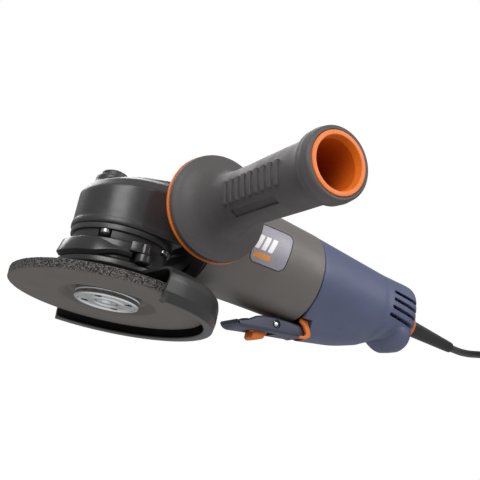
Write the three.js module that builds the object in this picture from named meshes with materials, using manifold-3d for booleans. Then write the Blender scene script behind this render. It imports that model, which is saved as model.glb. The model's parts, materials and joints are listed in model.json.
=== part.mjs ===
// Corded angle grinder for 125 mm grinding discs, standing as it is put down on a bench:
// on the rear edge of its guard and on the heel of its tail, with the cord lying behind it.
// Units are millimetres, +Z is up and +X points along the tool towards its tail.
// Most pieces are drawn in the tool's own frame: Z is the spindle's axis, z = 0 is the
// working face of the disc, +X is the motor's direction and the side handle points along -Y.
import * as THREE from 'three';
import { mergeVertices } from 'three/addons/utils/BufferGeometryUtils.js';
import Module from 'manifold-3d';

const wasm = await Module();
wasm.setup();

// ---------------------------------------------------------------- driving dimensions
const GAP = 0.3; // clearance between touching pieces
const LEAN = THREE.MathUtils.degToRad(12.6); // nose-up lean of the tool on the bench

const DISC_R = 62.5;
const DISC_T = 6.5;
const DISC_BORE_R = 11.2;
const DISC_DEPTH = 4.8; // depth of the disc's sunk centre
const NUT_R = 20.7;

const GUARD_R = 69.6;
const GUARD_FOOT_R = 68.4; // where the guard's rolled edge meets the bench
const GUARD_FOOT_Z = -6.3;
const GUARD_TOP_Z = 16.4;
const GUARD_FROM = -83; // degrees round the spindle from +X
const GUARD_TO = 95;
const NECK_R = 28; // neck of the bearing cover, which the guard turns on

const HEAD_R = 33.3;
const HEAD_LOW_Z = 40.5;
const MOTOR_Z = 61.6; // height of the motor's axis
const FLARE_X = 50; // joint of the gear housing and the motor housing
const SEAM_X = 138; // joint of the motor housing and the rear housing
const WALL = 2.7;

const HANDLE_X = 36;
const HANDLE_Z = 65.2;
const HANDLE_END = 167.5;
const HANDLE_FLANGE_R = 34.1;

const PINION_TEETH = 12;
const CROWN_TEETH = 37;
const MESH_SLOPE = PINION_TEETH / CROWN_TEETH; // slope of the pitch cone seen from the pinion

const PADDLE_PIVOT = [171.5, 28.2];
const LOCK_PIVOT = [121, 19.4];
const BUTTON_X = -15;

const CORD_R = 2.9;
const COIL_X = 248; // middle of the coil on the bench
const COIL_Y = 7.8;
const COIL_OUT_R = 44.3;
const COIL_IN_R = 26.3;
const COIL_TOP_Z = 23.5;

// ---------------------------------------------------------------- finishes
const finish = (color, roughness, metalness = 0) => () =>
  new THREE.MeshStandardMaterial({ color, roughness, metalness });
const castAlloy = finish('#5b5a5d', 0.45, 0.4);
const blackSteel = finish('#35353a', 0.35, 0.6);
const guardSteel = finish('#5d5a58', 0.4, 0.5);
const brightSteel = finish('#b9babd', 0.25, 1);
const greyPlastic = finish('#56524f', 0.55);
const bluePlastic = finish('#55607f', 0.5);
const orangePlastic = finish('#c8642a', 0.45);
const blackRubber = finish('#262627', 0.7);
const gripRubber = finish('#454142', 0.65);
const stone = finish('#65605d', 0.95);
const labelFilm = finish('#8f8d98', 0.4);
const copper = finish('#a8622f', 0.4, 0.8);
const carbon = finish('#2b2b2e', 0.8);
const coreSteel = finish('#7c7c80', 0.5, 0.8);
const blackPlastic = finish('#1f1f21', 0.5);
const brass = finish('#a98a45', 0.35, 0.9);

// ---------------------------------------------------------------- shape helpers
// Closed body of a geometry, with its faces turned outwards.
function solidOf(geometry) {
  const plain = new THREE.BufferGeometry();
  plain.setAttribute('position', geometry.attributes.position.clone());
  if (geometry.index) plain.setIndex(geometry.index.clone());
  const merged = mergeVertices(plain, 1e-4);
  const points = merged.attributes.position.array;
  const faces = [];
  let volume = 0;
  const a = new THREE.Vector3();
  const b = new THREE.Vector3();
  const c = new THREE.Vector3();
  for (let i = 0; i < merged.index.count; i += 3) {
    const corners = [0, 1, 2].map((k) => merged.index.getX(i + k));
    if (new Set(corners).size < 3) continue;
    faces.push(corners);
    a.fromArray(points, 3 * corners[0]);
    b.fromArray(points, 3 * corners[1]);
    c.fromArray(points, 3 * corners[2]);
    volume += a.dot(b.cross(c));
  }
  if (volume < 0) faces.forEach((corners) => corners.reverse());
  return new wasm.Manifold(
    new wasm.Mesh({
      numProp: 3,
      vertProperties: new Float32Array(points),
      triVerts: new Uint32Array(faces.flat()),
    }),
  );
}

function geometryOf(solid) {
  const mesh = solid.getMesh();
  const geometry = new THREE.BufferGeometry();
  geometry.setAttribute('position', new THREE.BufferAttribute(new Float32Array(mesh.vertProperties), 3));
  geometry.setIndex(Array.from(mesh.triVerts));
  return geometry;
}

const join = (first, ...rest) =>
  geometryOf(rest.reduce((solid, piece) => solid.add(solidOf(piece)), solidOf(first)));
const cut = (first, ...rest) =>
  geometryOf(rest.reduce((solid, piece) => solid.subtract(solidOf(piece)), solidOf(first)));
const common = (first, ...rest) =>
  geometryOf(rest.reduce((solid, piece) => solid.intersect(solidOf(piece)), solidOf(first)));

const moved = (geometry, x, y, z) => geometry.clone().translate(x, y, z);

// Body turned about Z from a closed or axis-to-axis profile of [radius, height].
function turned(profile, segments = 28) {
  const points = profile.map(([r, z]) => new THREE.Vector2(r, z));
  const onAxis = profile[0][0] === 0 && profile[profile.length - 1][0] === 0;
  if (!onAxis) points.push(points[0].clone());
  return new THREE.LatheGeometry(points, segments).rotateX(Math.PI / 2);
}
const ring = (inner, outer, low, high, segments) =>
  turned([[inner, low], [outer, low], [outer, high], [inner, high]], segments);
const rod = (radius, low, high, segments) =>
  turned([[0, low], [radius, low], [radius, high], [0, high]], segments);

// The same turned shapes laid along +X or -Y.
const alongX = (geometry) => geometry.rotateY(Math.PI / 2);
const alongMinusY = (geometry) => geometry.rotateX(Math.PI / 2);

function box(x0, x1, y0, y1, z0, z1) {
  const geometry = new THREE.BoxGeometry(x1 - x0, y1 - y0, z1 - z0);
  return geometry.translate((x0 + x1) / 2, (y0 + y1) / 2, (z0 + z1) / 2);
}

const flatShape = (points) => new THREE.Shape(points.map(([u, v]) => new THREE.Vector2(u, v)));

// Side-view outline of [x, z] made a plate from y0 to y1.
function sidePlate(outline, y0, y1) {
  const depth = y1 - y0;
  const plate = new THREE.ExtrudeGeometry(flatShape(outline), { depth, bevelEnabled: false });
  return plate.rotateX(Math.PI / 2).translate(0, y1, 0);
}

// Plan-view outline of [x, y] made a plate from z0 to z1.
function planPlate(outline, z0, z1) {
  const plate = new THREE.ExtrudeGeometry(flatShape(outline), { depth: z1 - z0, bevelEnabled: false });
  return plate.translate(0, 0, z0);
}

// Pie slice round Z between two angles in degrees.
function slice(radius, from, to, z0, z1) {
  const outline = [[0, 0]];
  const steps = 12;
  for (let i = 0; i <= steps; i++) {
    const angle = THREE.MathUtils.degToRad(from + ((to - from) * i) / steps);
    outline.push([radius * Math.cos(angle), radius * Math.sin(angle)]);
  }
  return planPlate(outline, z0, z1);
}

// Closed skin over a row of equal rings of [x, y, z] points.
function loft(rings) {
  const count = rings[0].length;
  const positions = rings.flat(2);
  const faces = [];
  for (let k = 0; k < rings.length - 1; k++) {
    for (let i = 0; i < count; i++) {
      const j = (i + 1) % count;
      const [a, b, c, d] = [k * count + i, k * count + j, (k + 1) * count + j, (k + 1) * count + i];
      faces.push(a, b, c, a, c, d);
    }
  }
  const last = (rings.length - 1) * count;
  for (let i = 1; i < count - 1; i++) {
    faces.push(0, i + 1, i);
    faces.push(last, last + i, last + i + 1);
  }
  const geometry = new THREE.BufferGeometry();
  geometry.setAttribute('position', new THREE.Float32BufferAttribute(positions, 3));
  geometry.setIndex(faces);
  return geometry;
}

// Section of a housing across X: a large round top that runs into a smaller round bottom.
// top and bottom are heights, wide and narrow the two radii, inset the wall taken off.
function pearRing([x, top, wide, bottom, narrow], inset = 0, points = 20) {
  const highZ = top - wide;
  const lowZ = bottom + narrow;
  const spread = Math.max(highZ - lowZ, 1e-3);
  const turn = Math.asin(THREE.MathUtils.clamp((wide - narrow) / spread, -1, 0.93));
  const upper = Math.round(points * 0.64);
  const ringPoints = [];
  const arc = (radius, centre, from, to, count) => {
    for (let i = 0; i < count; i++) {
      const angle = from + ((to - from) * i) / (count - 1);
      ringPoints.push([x, radius * Math.sin(angle), centre + radius * Math.cos(angle)]);
    }
  };
  const contact = Math.PI / 2 + turn;
  arc(wide - inset, highZ, -contact, contact, upper);
  arc(narrow - inset, lowZ, contact + 0.02, 2 * Math.PI - contact - 0.02, points - upper);
  return ringPoints;
}

// Section across X of the tail: half wide at the height middle, squarer with a larger power.
function tailRing([x, top, middle, half, bottom, power], inset = 0, points = 20) {
  const contact = THREE.MathUtils.degToRad(144);
  const upper = Math.round(points * 0.64);
  const soft = (value) => Math.sign(value) * Math.abs(value) ** (2 / power);
  return Array.from({ length: points }, (_, i) => {
    const over = -contact + (2 * contact * i) / (upper - 1);
    const under = contact + 0.02 + ((2 * Math.PI - 2 * contact - 0.04) * (i - upper)) / (points - upper - 1);
    const angle = i < upper ? over : under;
    const reach = Math.cos(angle) > 0 ? top - middle : middle - bottom;
    return [x, (half - inset) * soft(Math.sin(angle)), middle + (reach - inset) * soft(Math.cos(angle))];
  });
}

// Section across X between a box and a circle: power 2 is an ellipse, larger is squarer.
function boxyRing([x, top, bottom, half, power], inset = 0, points = 22) {
  const ringPoints = [];
  const mid = (top + bottom) / 2;
  const tall = (top - bottom) / 2 - inset;
  const soft = (value) => Math.sign(value) * Math.abs(value) ** (2 / power);
  for (let i = 0; i < points; i++) {
    const angle = (2 * Math.PI * (i + 0.5)) / points;
    ringPoints.push([x, (half - inset) * soft(Math.sin(angle)), mid + tall * soft(Math.cos(angle))]);
  }
  return ringPoints;
}

function add(group, name, geometry, material) {
  const mesh = new THREE.Mesh(geometryOf(solidOf(geometry)), material());
  mesh.name = name;
  group.add(mesh);
  return mesh;
}

const grinder = new THREE.Group();

// Polar point in plan, with the angle in degrees.
const polar = (radius, degrees) => {
  const angle = THREE.MathUtils.degToRad(degrees);
  return [radius * Math.cos(angle), radius * Math.sin(angle)];
};

// ---------------------------------------------------------------- gear head
function addGearHousing() {
  // Plan of the head: a half round nose with straight sides behind it.
  const plan = (radius, height) => {
    const points = [];
    const steps = 12;
    for (let i = 0; i <= steps; i++) {
      const [x, y] = polar(radius, 90 + (180 * i) / steps);
      points.push([x, y, height(x)]);
    }
    const backX = 26;
    points.push([backX, -radius, height(backX)], [backX, radius, height(backX)]);
    return points;
  };
  const ridge = (x) => 64.7 + 0.136 * (x + HEAD_R);
  const roof = (x) => 74 + 0.236 * (x + 22.3);
  const head = loft([
    plan(HEAD_R, () => HEAD_LOW_Z),
    plan(HEAD_R, ridge),
    plan(HEAD_R - 5, (x) => ridge(x) + 5.4),
    plan(22.3, roof),
  ]);
  const flare = loft(
    [
      [14, 83, 46, 29, 2.6],
      [18, 87.5, 44, 31, 2.6],
      [23, 92, 42.5, 33, 2.5],
      [32, 95.5, 41, 34.8, 2.4],
      [38, 96.4, 35.5, 35, 2.2],
      [44, 96.6, 32, 35, 2.1],
      [FLARE_X, 96.7, 26.9, 34.9, 2],
    ].map((section) => boxyRing(section)),
  );
  const atBoss = (geometry) => moved(alongMinusY(geometry), HANDLE_X, 0, HANDLE_Z);
  const atMotor = (geometry) => moved(alongX(geometry), 0, 0, MOTOR_Z);
  const body = cut(
    join(head, flare, atBoss(rod(13.5, -41, 46.7, 24))),
    rod(27.5, HEAD_LOW_Z - 1, 60.5, 28), // gear room
    rod(8.1, 59, 65.8, 16), // seat of the spindle's top bush
    atMotor(rod(11.5, 13, 33, 16)), // pinion room
    atMotor(rod(16.4, 31, 44, 24)), // seat of the motor's front bearing
    atMotor(rod(30.5, 42.4, FLARE_X + 1, 28)), // fan room
    atBoss(rod(4.4, 32, 50, 12)), // threaded holes for the side handle
    atBoss(rod(4.4, -45, -33.5, 12)),
    moved(rod(9, 67.2, 90, 20), BUTTON_X, 0, 0), // well and guide of the lock button
    moved(rod(2.8, 58, 68, 12), BUTTON_X, 0, 0),
  );
  add(grinder, 'gear_housing', body, castAlloy);

  const screwR = 29.3;
  const screwAngles = [-133, -47, 47, 133];
  const cover = cut(
    turned(
      [
        [16.2, 40.2], [16.2, 30.7], [9.2, 30.7], [9.2, 17], [NECK_R, 17], [NECK_R, 31.6],
        [30.6, 31.6], [30.6, 36.8], [32.4, 36.8], [32.4, 40.2],
      ],
      32,
    ),
    ...screwAngles.flatMap((angle) => [
      moved(rod(4.2, 31, 36.8, 10), ...polar(screwR + 0.6, angle), 0),
      moved(rod(2.2, 30, 41, 8), ...polar(screwR, angle), 0),
    ]),
  );
  add(grinder, 'bearing_cover', cover, castAlloy);
  screwAngles.forEach((angle, i) => {
    const screw = turned([[0, 33.4], [3.3, 33.4], [3.3, 36.5], [1.8, 36.5], [1.8, 40], [0, 40]], 10);
    add(grinder, `cover_screw_${i + 1}`, moved(screw, ...polar(screwR, angle), 0), brightSteel);
  });

  add(grinder, 'spindle_bearing', ring(6.4, 15.8, 31, 41, 24), brightSteel);
  add(grinder, 'spindle_bush', ring(4.8, 7.8, 60, 65.5, 20), brass);
  add(grinder, 'armature_front_bearing', atMotor(ring(6.4, 15.8, 31.6, 41.6, 24)), brightSteel);
}

// Push button that locks the spindle, in its well on the head's sloping roof.
function addLockButton() {
  const profile = [[0, 60.6], [2.4, 60.6], [2.4, 71.4], [8.6, 71.4], [8.6, 80.3], [7.6, 81.4], [0, 81.9]];
  const button = turned(profile, 20);
  add(grinder, 'spindle_lock_button', moved(button, BUTTON_X, 0, 0), blackPlastic);
}

// ---------------------------------------------------------------- bevel gears
// Both toothed rings are made of straight lines that meet where the two axes cross.
function toothAngles(teeth, phase, rootWidth, tipWidth) {
  const pitch = (2 * Math.PI) / teeth;
  const corners = [];
  for (let i = 0; i < teeth; i++) {
    const middle = phase + i * pitch;
    corners.push([middle - rootWidth * pitch, 0], [middle - tipWidth * pitch, 1]);
    corners.push([middle + tipWidth * pitch, 1], [middle + rootWidth * pitch, 0]);
  }
  return corners;
}

function crownTeeth() {
  const [inner, outer, baseZ] = [17, 25, 48.5];
  const corners = toothAngles(CROWN_TEETH, 0, 0.3, 0.1);
  const height = (radius, tip) => MOTOR_Z - radius * (tip ? MESH_SLOPE - 0.038 : MESH_SLOPE + 0.058);
  const at = (radius, z) => ([angle, tip]) =>
    [radius * Math.cos(angle), radius * Math.sin(angle), z(radius, tip)];
  const rings = [
    corners.map(at(outer, () => baseZ)),
    corners.map(at(outer, height)),
    corners.map(at(inner, height)),
    corners.map(at(inner, () => baseZ)),
  ];
  const count = corners.length;
  const faces = [];
  for (let k = 0; k < 4; k++) {
    for (let i = 0; i < count; i++) {
      const j = (i + 1) % count;
      const next = (k + 1) % 4;
      const [a, b, c, d] = [k * count + i, k * count + j, next * count + j, next * count + i];
      faces.push(a, b, c, a, c, d);
    }
  }
  const geometry = new THREE.BufferGeometry();
  geometry.setAttribute('position', new THREE.Float32BufferAttribute(rings.flat(2), 3));
  geometry.setIndex(faces);
  return geometry;
}

function pinionTeeth() {
  const corners = toothAngles(PINION_TEETH, -Math.PI / 2 + Math.PI / PINION_TEETH, 0.3, 0.08);
  const section = (x) =>
    corners.map(([angle, tip]) => {
      const radius = x * (tip ? MESH_SLOPE + 0.042 : MESH_SLOPE - 0.05);
      return [x, radius * Math.cos(angle), MOTOR_Z + radius * Math.sin(angle)];
    });
  return loft([section(17.4), section(24.6)]);
}

// ---------------------------------------------------------------- spindle and disc
function addSpindle() {
  const spindle = turned(
    [
      [0, 1.6], [2.6, 1.2], [3.4, -0.2], [6.9, -0.2], [6.9, 16.5], [8.6, 16.5], [8.6, 30.4],
      [6, 30.4], [6, 59.4], [4.5, 59.4], [4.5, 65.2], [0, 65.2],
    ],
    28,
  );
  add(grinder, 'spindle', spindle, brightSteel);
  const crown = join(crownTeeth(), ring(6.4, 17.4, 48.5, 52, 20));
  add(grinder, 'crown_gear', crown, coreSteel);
  const flange = [[7.2, 8.7], [10.9, 8.7], [10.9, 11.3], [20.5, 11.3], [20.5, 13], [10, 16.2], [7.2, 16.2]];
  add(grinder, 'inner_flange', turned(flange, 24), coreSteel);
  const sunkTop = DISC_DEPTH + DISC_T - 0.3;
  const disc = [
    [DISC_BORE_R, DISC_DEPTH], [26, DISC_DEPTH], [31, 0.5], [33, 0], [61.9, 0], [DISC_R, 0.6],
    [DISC_R, 5.9], [61.9, DISC_T], [34.5, DISC_T], [31, 7.2], [26.5, sunkTop], [DISC_BORE_R, sunkTop],
  ];
  add(grinder, 'grinding_disc', turned(disc, 36), stone);
  const nutBody = turned(
    [
      [7.3, -0.8], [9.4, -1.4], [NUT_R - 0.8, -1.4], [NUT_R, -0.6], [NUT_R, 4.1],
      [NUT_R - 0.4, 4.5], [10.9, 4.5], [10.9, 8.4], [7.3, 8.4],
    ],
    28,
  );
  const spannerHoles = [45, 135, 225, 315].map((angle) =>
    moved(rod(2.4, -2, 1.6, 8), ...polar(15, angle), 0),
  );
  add(grinder, 'flange_nut', cut(nutBody, ...spannerHoles), brightSteel);
}

// ---------------------------------------------------------------- guard
function addGuard() {
  const half = common(
    turned(
      [
        [33, GUARD_TOP_Z], [61, GUARD_TOP_Z], [65.6, 15.2], [68.6, 12], [GUARD_R, 8], [GUARD_R, 0],
        [GUARD_FOOT_R + 0.3, -5], [GUARD_FOOT_R, GUARD_FOOT_Z], [64, GUARD_FOOT_Z], [62.6, -5.6],
        [62.6, -4.7], [66.2, -4.4], [67.4, -2.4], [67.9, 0.4], [67.9, 8], [67, 11], [64.6, 13.6],
        [60.6, 14.7], [33, 14.7],
      ],
      48,
    ),
    slice(90, GUARD_FROM, GUARD_TO, -10, 20),
  );
  const collar = turned(
    [
      [NECK_R + GAP, 14.7], [36.6, 14.7], [36.6, 18.4], [31.2, 18.4], [31.2, 31.2], [NECK_R + GAP, 31.2],
    ],
    32,
  );
  add(grinder, 'guard', join(half, collar), guardSteel);

  const barrel = polar(38, -89);
  const pinHole = moved(rod(2.3, 10, 40, 14), ...barrel, 0);
  const band = cut(ring(31.5, 33.9, 19, 31, 36), slice(60, -100, -92, 10, 40));
  const lug = planPlate([polar(33, -92), polar(41.6, -91), polar(41, -84), polar(33, -80)], 19, 24.2);
  const eye = moved(rod(4.8, 19, 24.2, 20), ...barrel, 0);
  add(grinder, 'guard_clamp_band', cut(join(band, lug, eye), pinHole), blackSteel);
  add(grinder, 'guard_lever_pin', moved(rod(2, 18.8, 31.3, 14), ...barrel, 0), brightSteel);

  const profile = [[34.4, 19.4], [37.8, 18.6], [39.4, 20.4], [39.6, 25], [37.2, 30.8], [34.4, 30.8]];
  const arm = common(turned(profile, 48), slice(60, 172, 260, 10, 40));
  const knuckle = moved(rod(3.8, 24.5, 30.8, 20), ...barrel, 0);
  const root = planPlate(
    [polar(34.6, -102), polar(39.4, -102), polar(42.6, -90), polar(35, -92)],
    24.5,
    30.8,
  );
  add(grinder, 'guard_lever', cut(join(arm, root, knuckle), pinHole), blackPlastic);
}

// ---------------------------------------------------------------- side handle
function addSideHandle() {
  const handle = new THREE.Group();
  handle.position.set(HANDLE_X, 0, HANDLE_Z);
  handle.rotation.x = Math.PI / 2; // the handle's own +Z becomes the tool's -Y
  grinder.add(handle);
  const mouth = HANDLE_END - 4.5;
  const grip = turned(
    [
      [4.3, 49.5], [32.6, 49.5], [HANDLE_FLANGE_R, 50.8], [33.6, 53.6], [29.5, 55.2], [25.5, 58],
      [21.5, 63.5], [18.6, 71], [17.3, 80], [17.5, 110], [18, 152], [19.2, 156.5], [20.6, 158.5],
      [20.8, 162], [20.2, HANDLE_END - 0.6], [19.2, HANDLE_END], [17.8, HANDLE_END],
      [17.8, mouth], [15.8, mouth], [15.8, 60], [4.3, 60],
    ],
    28,
  );
  add(handle, 'handle_grip', grip, gripRubber);
  const insert = turned(
    [
      [0, 60.3], [15.5, 60.3], [15.5, mouth + GAP], [17.5, mouth + GAP], [17.5, HANDLE_END + 0.5],
      [14.9, HANDLE_END + 0.5], [13.9, HANDLE_END - 4], [13.4, 66], [0, 66],
    ],
    24,
  );
  add(handle, 'handle_insert', insert, orangePlastic);
  add(handle, 'handle_ring', ring(14, HANDLE_FLANGE_R + 0.3, 47.2, 49.2, 32), orangePlastic);
  add(handle, 'handle_stud', rod(4, 33, 59.5, 16), brightSteel);
}

// ---------------------------------------------------------------- motor
const MOTOR_SECTIONS = [
  [FLARE_X + GAP, 34.9, 61.8],
  [95, 34.7, 61.7],
  [125, 33.9, 60.4],
  [SEAM_X - GAP, 33.6, 59.7],
];
const motorSkin = (offset, points = 28) =>
  loft(
    MOTOR_SECTIONS.map(([x, radius, centre]) =>
      boxyRing([x, centre + radius, centre - radius, radius, 2], -offset, points),
    ),
  );

function addMotorHousing() {
  const atMotor = (geometry) => moved(alongX(geometry), 0, 0, MOTOR_Z);
  const inner = loft(
    MOTOR_SECTIONS.map(([x, radius, centre], i) => {
      const endX = [x - 1, x, x, x + 1][i];
      return boxyRing([endX, centre + radius, centre - radius, radius, 2], WALL, 28);
    }),
  );
  const spider = common(
    motorSkin(-1),
    join(
      atMotor(rod(14.5, 129, 136.8, 24)),
      box(130, 136, -40, 40, MOTOR_Z - 4, MOTOR_Z + 4),
      box(130, 136, -4, 4, 20, 110),
    ),
  );
  const body = cut(join(cut(motorSkin(0), inner), spider), atMotor(rod(11.3, 128, 138, 24)));
  add(grinder, 'motor_housing', body, greyPlastic);

  const corner = 4;
  const outline = [];
  const [x0, x1, z0, z1] = [76, 103.2, 48.5, 75.3];
  const slant = 0.17; // how far the label's rear edge leans back for its height
  [[x1, z1, 0], [x0, z1, 90], [x0, z0, 180], [x1, z0, 270]].forEach(([x, z, turn]) => {
    const centre = [x - Math.sign(x - 90) * corner, z - Math.sign(z - 60) * corner];
    [0, 30, 60, 90].forEach((step) => {
      const [du, dv] = polar(corner, turn + step);
      const [u, v] = [centre[0] + du, centre[1] + dv];
      outline.push([u + (slant * (v - z0) * (u - x0)) / (x1 - x0), v]);
    });
  });
  const film = cut(motorSkin(0.9), motorSkin(GAP));
  add(grinder, 'label_left', common(film, sidePlate(outline, -50, -15)), labelFilm);
  add(grinder, 'label_right', common(film, sidePlate(outline, 15, 50)), labelFilm);

  add(grinder, 'air_baffle', atMotor(ring(23, 31, 52.3, 54.3, 24)), blackPlastic);
  add(grinder, 'stator_core', atMotor(ring(23.6, 29.5, 62, 106, 24)), coreSteel);
  const coil = [
    [21.3, 55], [28.5, 55], [28.5, 61.7], [23.2, 61.7],
    [23.2, 106.3], [28.5, 106.3], [28.5, 113], [21.3, 113],
  ];
  add(grinder, 'field_coils', atMotor(turned(coil, 24)), copper);
  add(grinder, 'armature_rear_bearing', atMotor(ring(4, 11, 129.5, 136.5, 24)), brightSteel);

  [['left', -1], ['right', 1]].forEach(([side, way]) => {
    const holder = cut(
      box(115.5, 124.5, 14, 29, MOTOR_Z - 5.5, MOTOR_Z + 5.5),
      box(117, 123, 12, 27.5, MOTOR_Z - 4, MOTOR_Z + 4),
    );
    const brush = box(117.3, 122.7, 12.4, 24, MOTOR_Z - 3.7, MOTOR_Z + 3.7);
    const turnAbout = (geometry) =>
      way > 0 ? geometry : geometry.translate(-120, 0, 0).rotateZ(Math.PI).translate(120, 0, 0);
    add(grinder, `brush_holder_${side}`, turnAbout(holder), brass);
    add(grinder, `carbon_brush_${side}`, turnAbout(brush), carbon);
  });
}

function addArmature() {
  const motor = new THREE.Group();
  motor.position.z = MOTOR_Z;
  grinder.add(motor);
  const shaft = turned(
    [
      [0, 14], [3.4, 14], [3.4, 31], [6, 31], [6, 43], [6.4, 43], [6.4, 128], [3.7, 128],
      [3.7, 137.2], [0, 137.2],
    ],
    20,
  );
  add(motor, 'armature_shaft', alongX(shaft), coreSteel);
  const pinion = cut(pinionTeeth().translate(0, 0, -MOTOR_Z), alongX(rod(3.7, 10, 30, 20)));
  add(motor, 'pinion', pinion, coreSteel);
  const blades = [];
  for (let i = 0; i < 9; i++) {
    blades.push(box(43.9, 50, -0.7, 0.7, 8, 26.5).rotateX((2 * Math.PI * i) / 9));
  }
  const fan = join(alongX(ring(6.8, 27, 43.2, 44.4, 20)), alongX(ring(6.8, 10, 44, 51, 16)), ...blades);
  add(motor, 'cooling_fan', fan, blackPlastic);
  const winding = [
    [6.8, 55.5], [18.5, 55.5], [18.5, 62.8], [8.8, 62.8],
    [8.8, 104.3], [18.5, 104.3], [18.5, 112], [6.8, 112],
  ];
  add(motor, 'armature_winding', alongX(turned(winding, 20)), copper);
  add(motor, 'armature_core', alongX(ring(9.1, 20.7, 63.1, 104, 24)), coreSteel);
  add(motor, 'commutator', alongX(ring(6.7, 12, 112.4, 127, 24)), copper);
}

// ---------------------------------------------------------------- rear housing
const MOUTH_Z = 28.7; // the paddle's mouth lies below this height
const MOUTH = [[130, MOUTH_Z], [145.4, MOUTH_Z], [149.4, 19.5], [148.9, 16.8], [148, 10], [130, 10]];

function addRearHousing() {
  const sections = [
    [SEAM_X, 93.1, 33.4, 15.5, 16],
    [144, 92.5, 32.9, 15.3, 16],
    [160, 90.9, 31.5, 17.8, 16],
    [180, 88.9, 29.8, 21.2, 15.3],
    [200, 86.9, 28.3, 27.2, 15],
  ];
  const tailSections = [
    [208, 86.1, 58.4, 27.7, 31.2, 2],
    [214, 85.6, 58.2, 27, 34.6, 2.1],
    [220, 85, 58, 26, 38.2, 2.25],
    [227, 84.3, 58, 24.8, 41, 2.5],
    [233, 83.5, 58, 23, 43, 2.8],
    [237, 82.4, 58, 21, 44, 3],
    [239.5, 80.8, 58, 19, 44.8, 3],
    [241.3, 78.6, 58, 17, 45.6, 3],
    [242.5, 76, 58, 15.2, 46.4, 3],
    [243, 74, 58, 14, 47, 3],
  ];
  const footSections = [
    [218.5, 56, 40, 17, 2.2],
    [222, 56, 36.4, 21, 2.2],
    [226, 56, 33, 22, 2.2],
    [231.5, 56, 29.6, 21, 2.2],
    [236, 56, 30.6, 18.5, 2.2],
    [238.8, 56, 32.4, 16.5, 2.2],
    [241.2, 56, 38, 14, 2.2],
    [242.9, 56, 45, 12.5, 2.2],
  ];
  const rings = (inset, end) => [
    ...sections.map((section) => pearRing(section, inset)),
    ...tailSections.filter(([x]) => x < end).map((section) => tailRing(section, inset)),
  ];
  const inside = rings(WALL, 234);
  inside[0] = inside[0].map(([x, y, z]) => [x - 1, y, z]);
  const skin = join(
    loft(rings(0, 300)),
    loft(footSections.map((section) => boxyRing(section))),
  );
  const bench = box(-200, 200, -60, 60, -60, 0).rotateY(-LEAN).translate(GUARD_FOOT_R, 0, GUARD_FOOT_Z);
  const slots = [0, 1, 2, 3].map((i) => {
    const slot = box(0, 40, -40, 40, -1.4, 1.4).rotateY(0.06);
    const shaped = cut(slot, box(-10, 60, -14 + 1.2 * i, 14 - 1.2 * i, -30, 30));
    return moved(shaped, 210.2 - i, 0, 69.6 - 6.1 * i);
  });
  const tail = [235, 56.8];
  const bosses = [[156, 76], [186, 36], [205, 73], [203, 45]];
  const bossDepth = [26.2, 14.2, 23, 22.4];
  const body = cut(
    skin,
    loft(inside),
    sidePlate(MOUTH, -40, 40),
    bench,
    ...slots,
    moved(alongX(rod(8, -5, 12, 16)), tail[0], 0, tail[1]),
  );
  [['left', -1], ['right', 1]].forEach(([side, way]) => {
    const halfSpace = way < 0 ? box(100, 300, -60, -0.15, 0, 120) : box(100, 300, 0.15, 60, 0, 120);
    const toSide = (geometry, x, z) => moved(geometry.rotateX((-way * Math.PI) / 2), x, 0, z);
    const posts = bosses.map(([x, z], i) => common(skin, toSide(rod(4.6, 0.15, bossDepth[i], 8), x, z)));
    const holes = bosses.map(([x, z], i) => {
      const [seat, end] = [bossDepth[i] - 3, bossDepth[i] + 9];
      const through = [[0, -1], [2, -1], [2, seat], [3.6, seat], [3.6, end], [0, end]];
      return toSide(way < 0 ? rod(2, -1, 12, 8) : turned(through, 8), x, z);
    });
    const shell = cut(join(common(body, halfSpace), ...posts), ...holes);
    add(grinder, `rear_housing_${side}`, shell, bluePlastic);
  });
  bosses.forEach(([x, z], i) => {
    const headY = bossDepth[i] - 2.7;
    const screw = turned(
      [[0, -8], [1.6, -8], [1.6, headY], [3.2, headY], [3.2, headY + 2.4], [0, headY + 2.4]],
      10,
    );
    add(grinder, `shell_screw_${i + 1}`, moved(screw.rotateX(-Math.PI / 2), x, 0, z), blackSteel);
  });

  // Orange frame round the paddle's rear end: two legs with a foot, and a low wall behind.
  const frame = cut(
    sidePlate(
      [
        [138.4, 28.4], [145, 28.4], [149, 19.5], [148.4, 17.2], [146, 15.6], [140, 14.4],
        [140, 16.5], [144.2, 17.4], [145.2, 19.2], [142, 23.8], [138.4, 26.2],
      ],
      -13.8,
      13.8,
    ),
    box(130, 147.1, -11.4, 11.4, 10, 40),
    box(147, 160, -11.4, 11.4, 20.1, 40),
  );
  add(grinder, 'paddle_frame', frame, orangePlastic);
}

function addSwitchGear() {
  const body = cut(box(151, 176, -9, 9, 35, 56), box(155.6, 160.4, -3.4, 3.4, 34, 40));
  add(grinder, 'switch_body', body, blackPlastic);
  add(grinder, 'switch_plunger', box(156, 160, -3, 3, 29, 38.4), orangePlastic);
  const [px, pz] = PADDLE_PIVOT;
  add(grinder, 'paddle_pivot_pin', moved(alongMinusY(rod(2, -8.6, 8.6, 14)), px, 0, pz), brightSteel);
}

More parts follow.
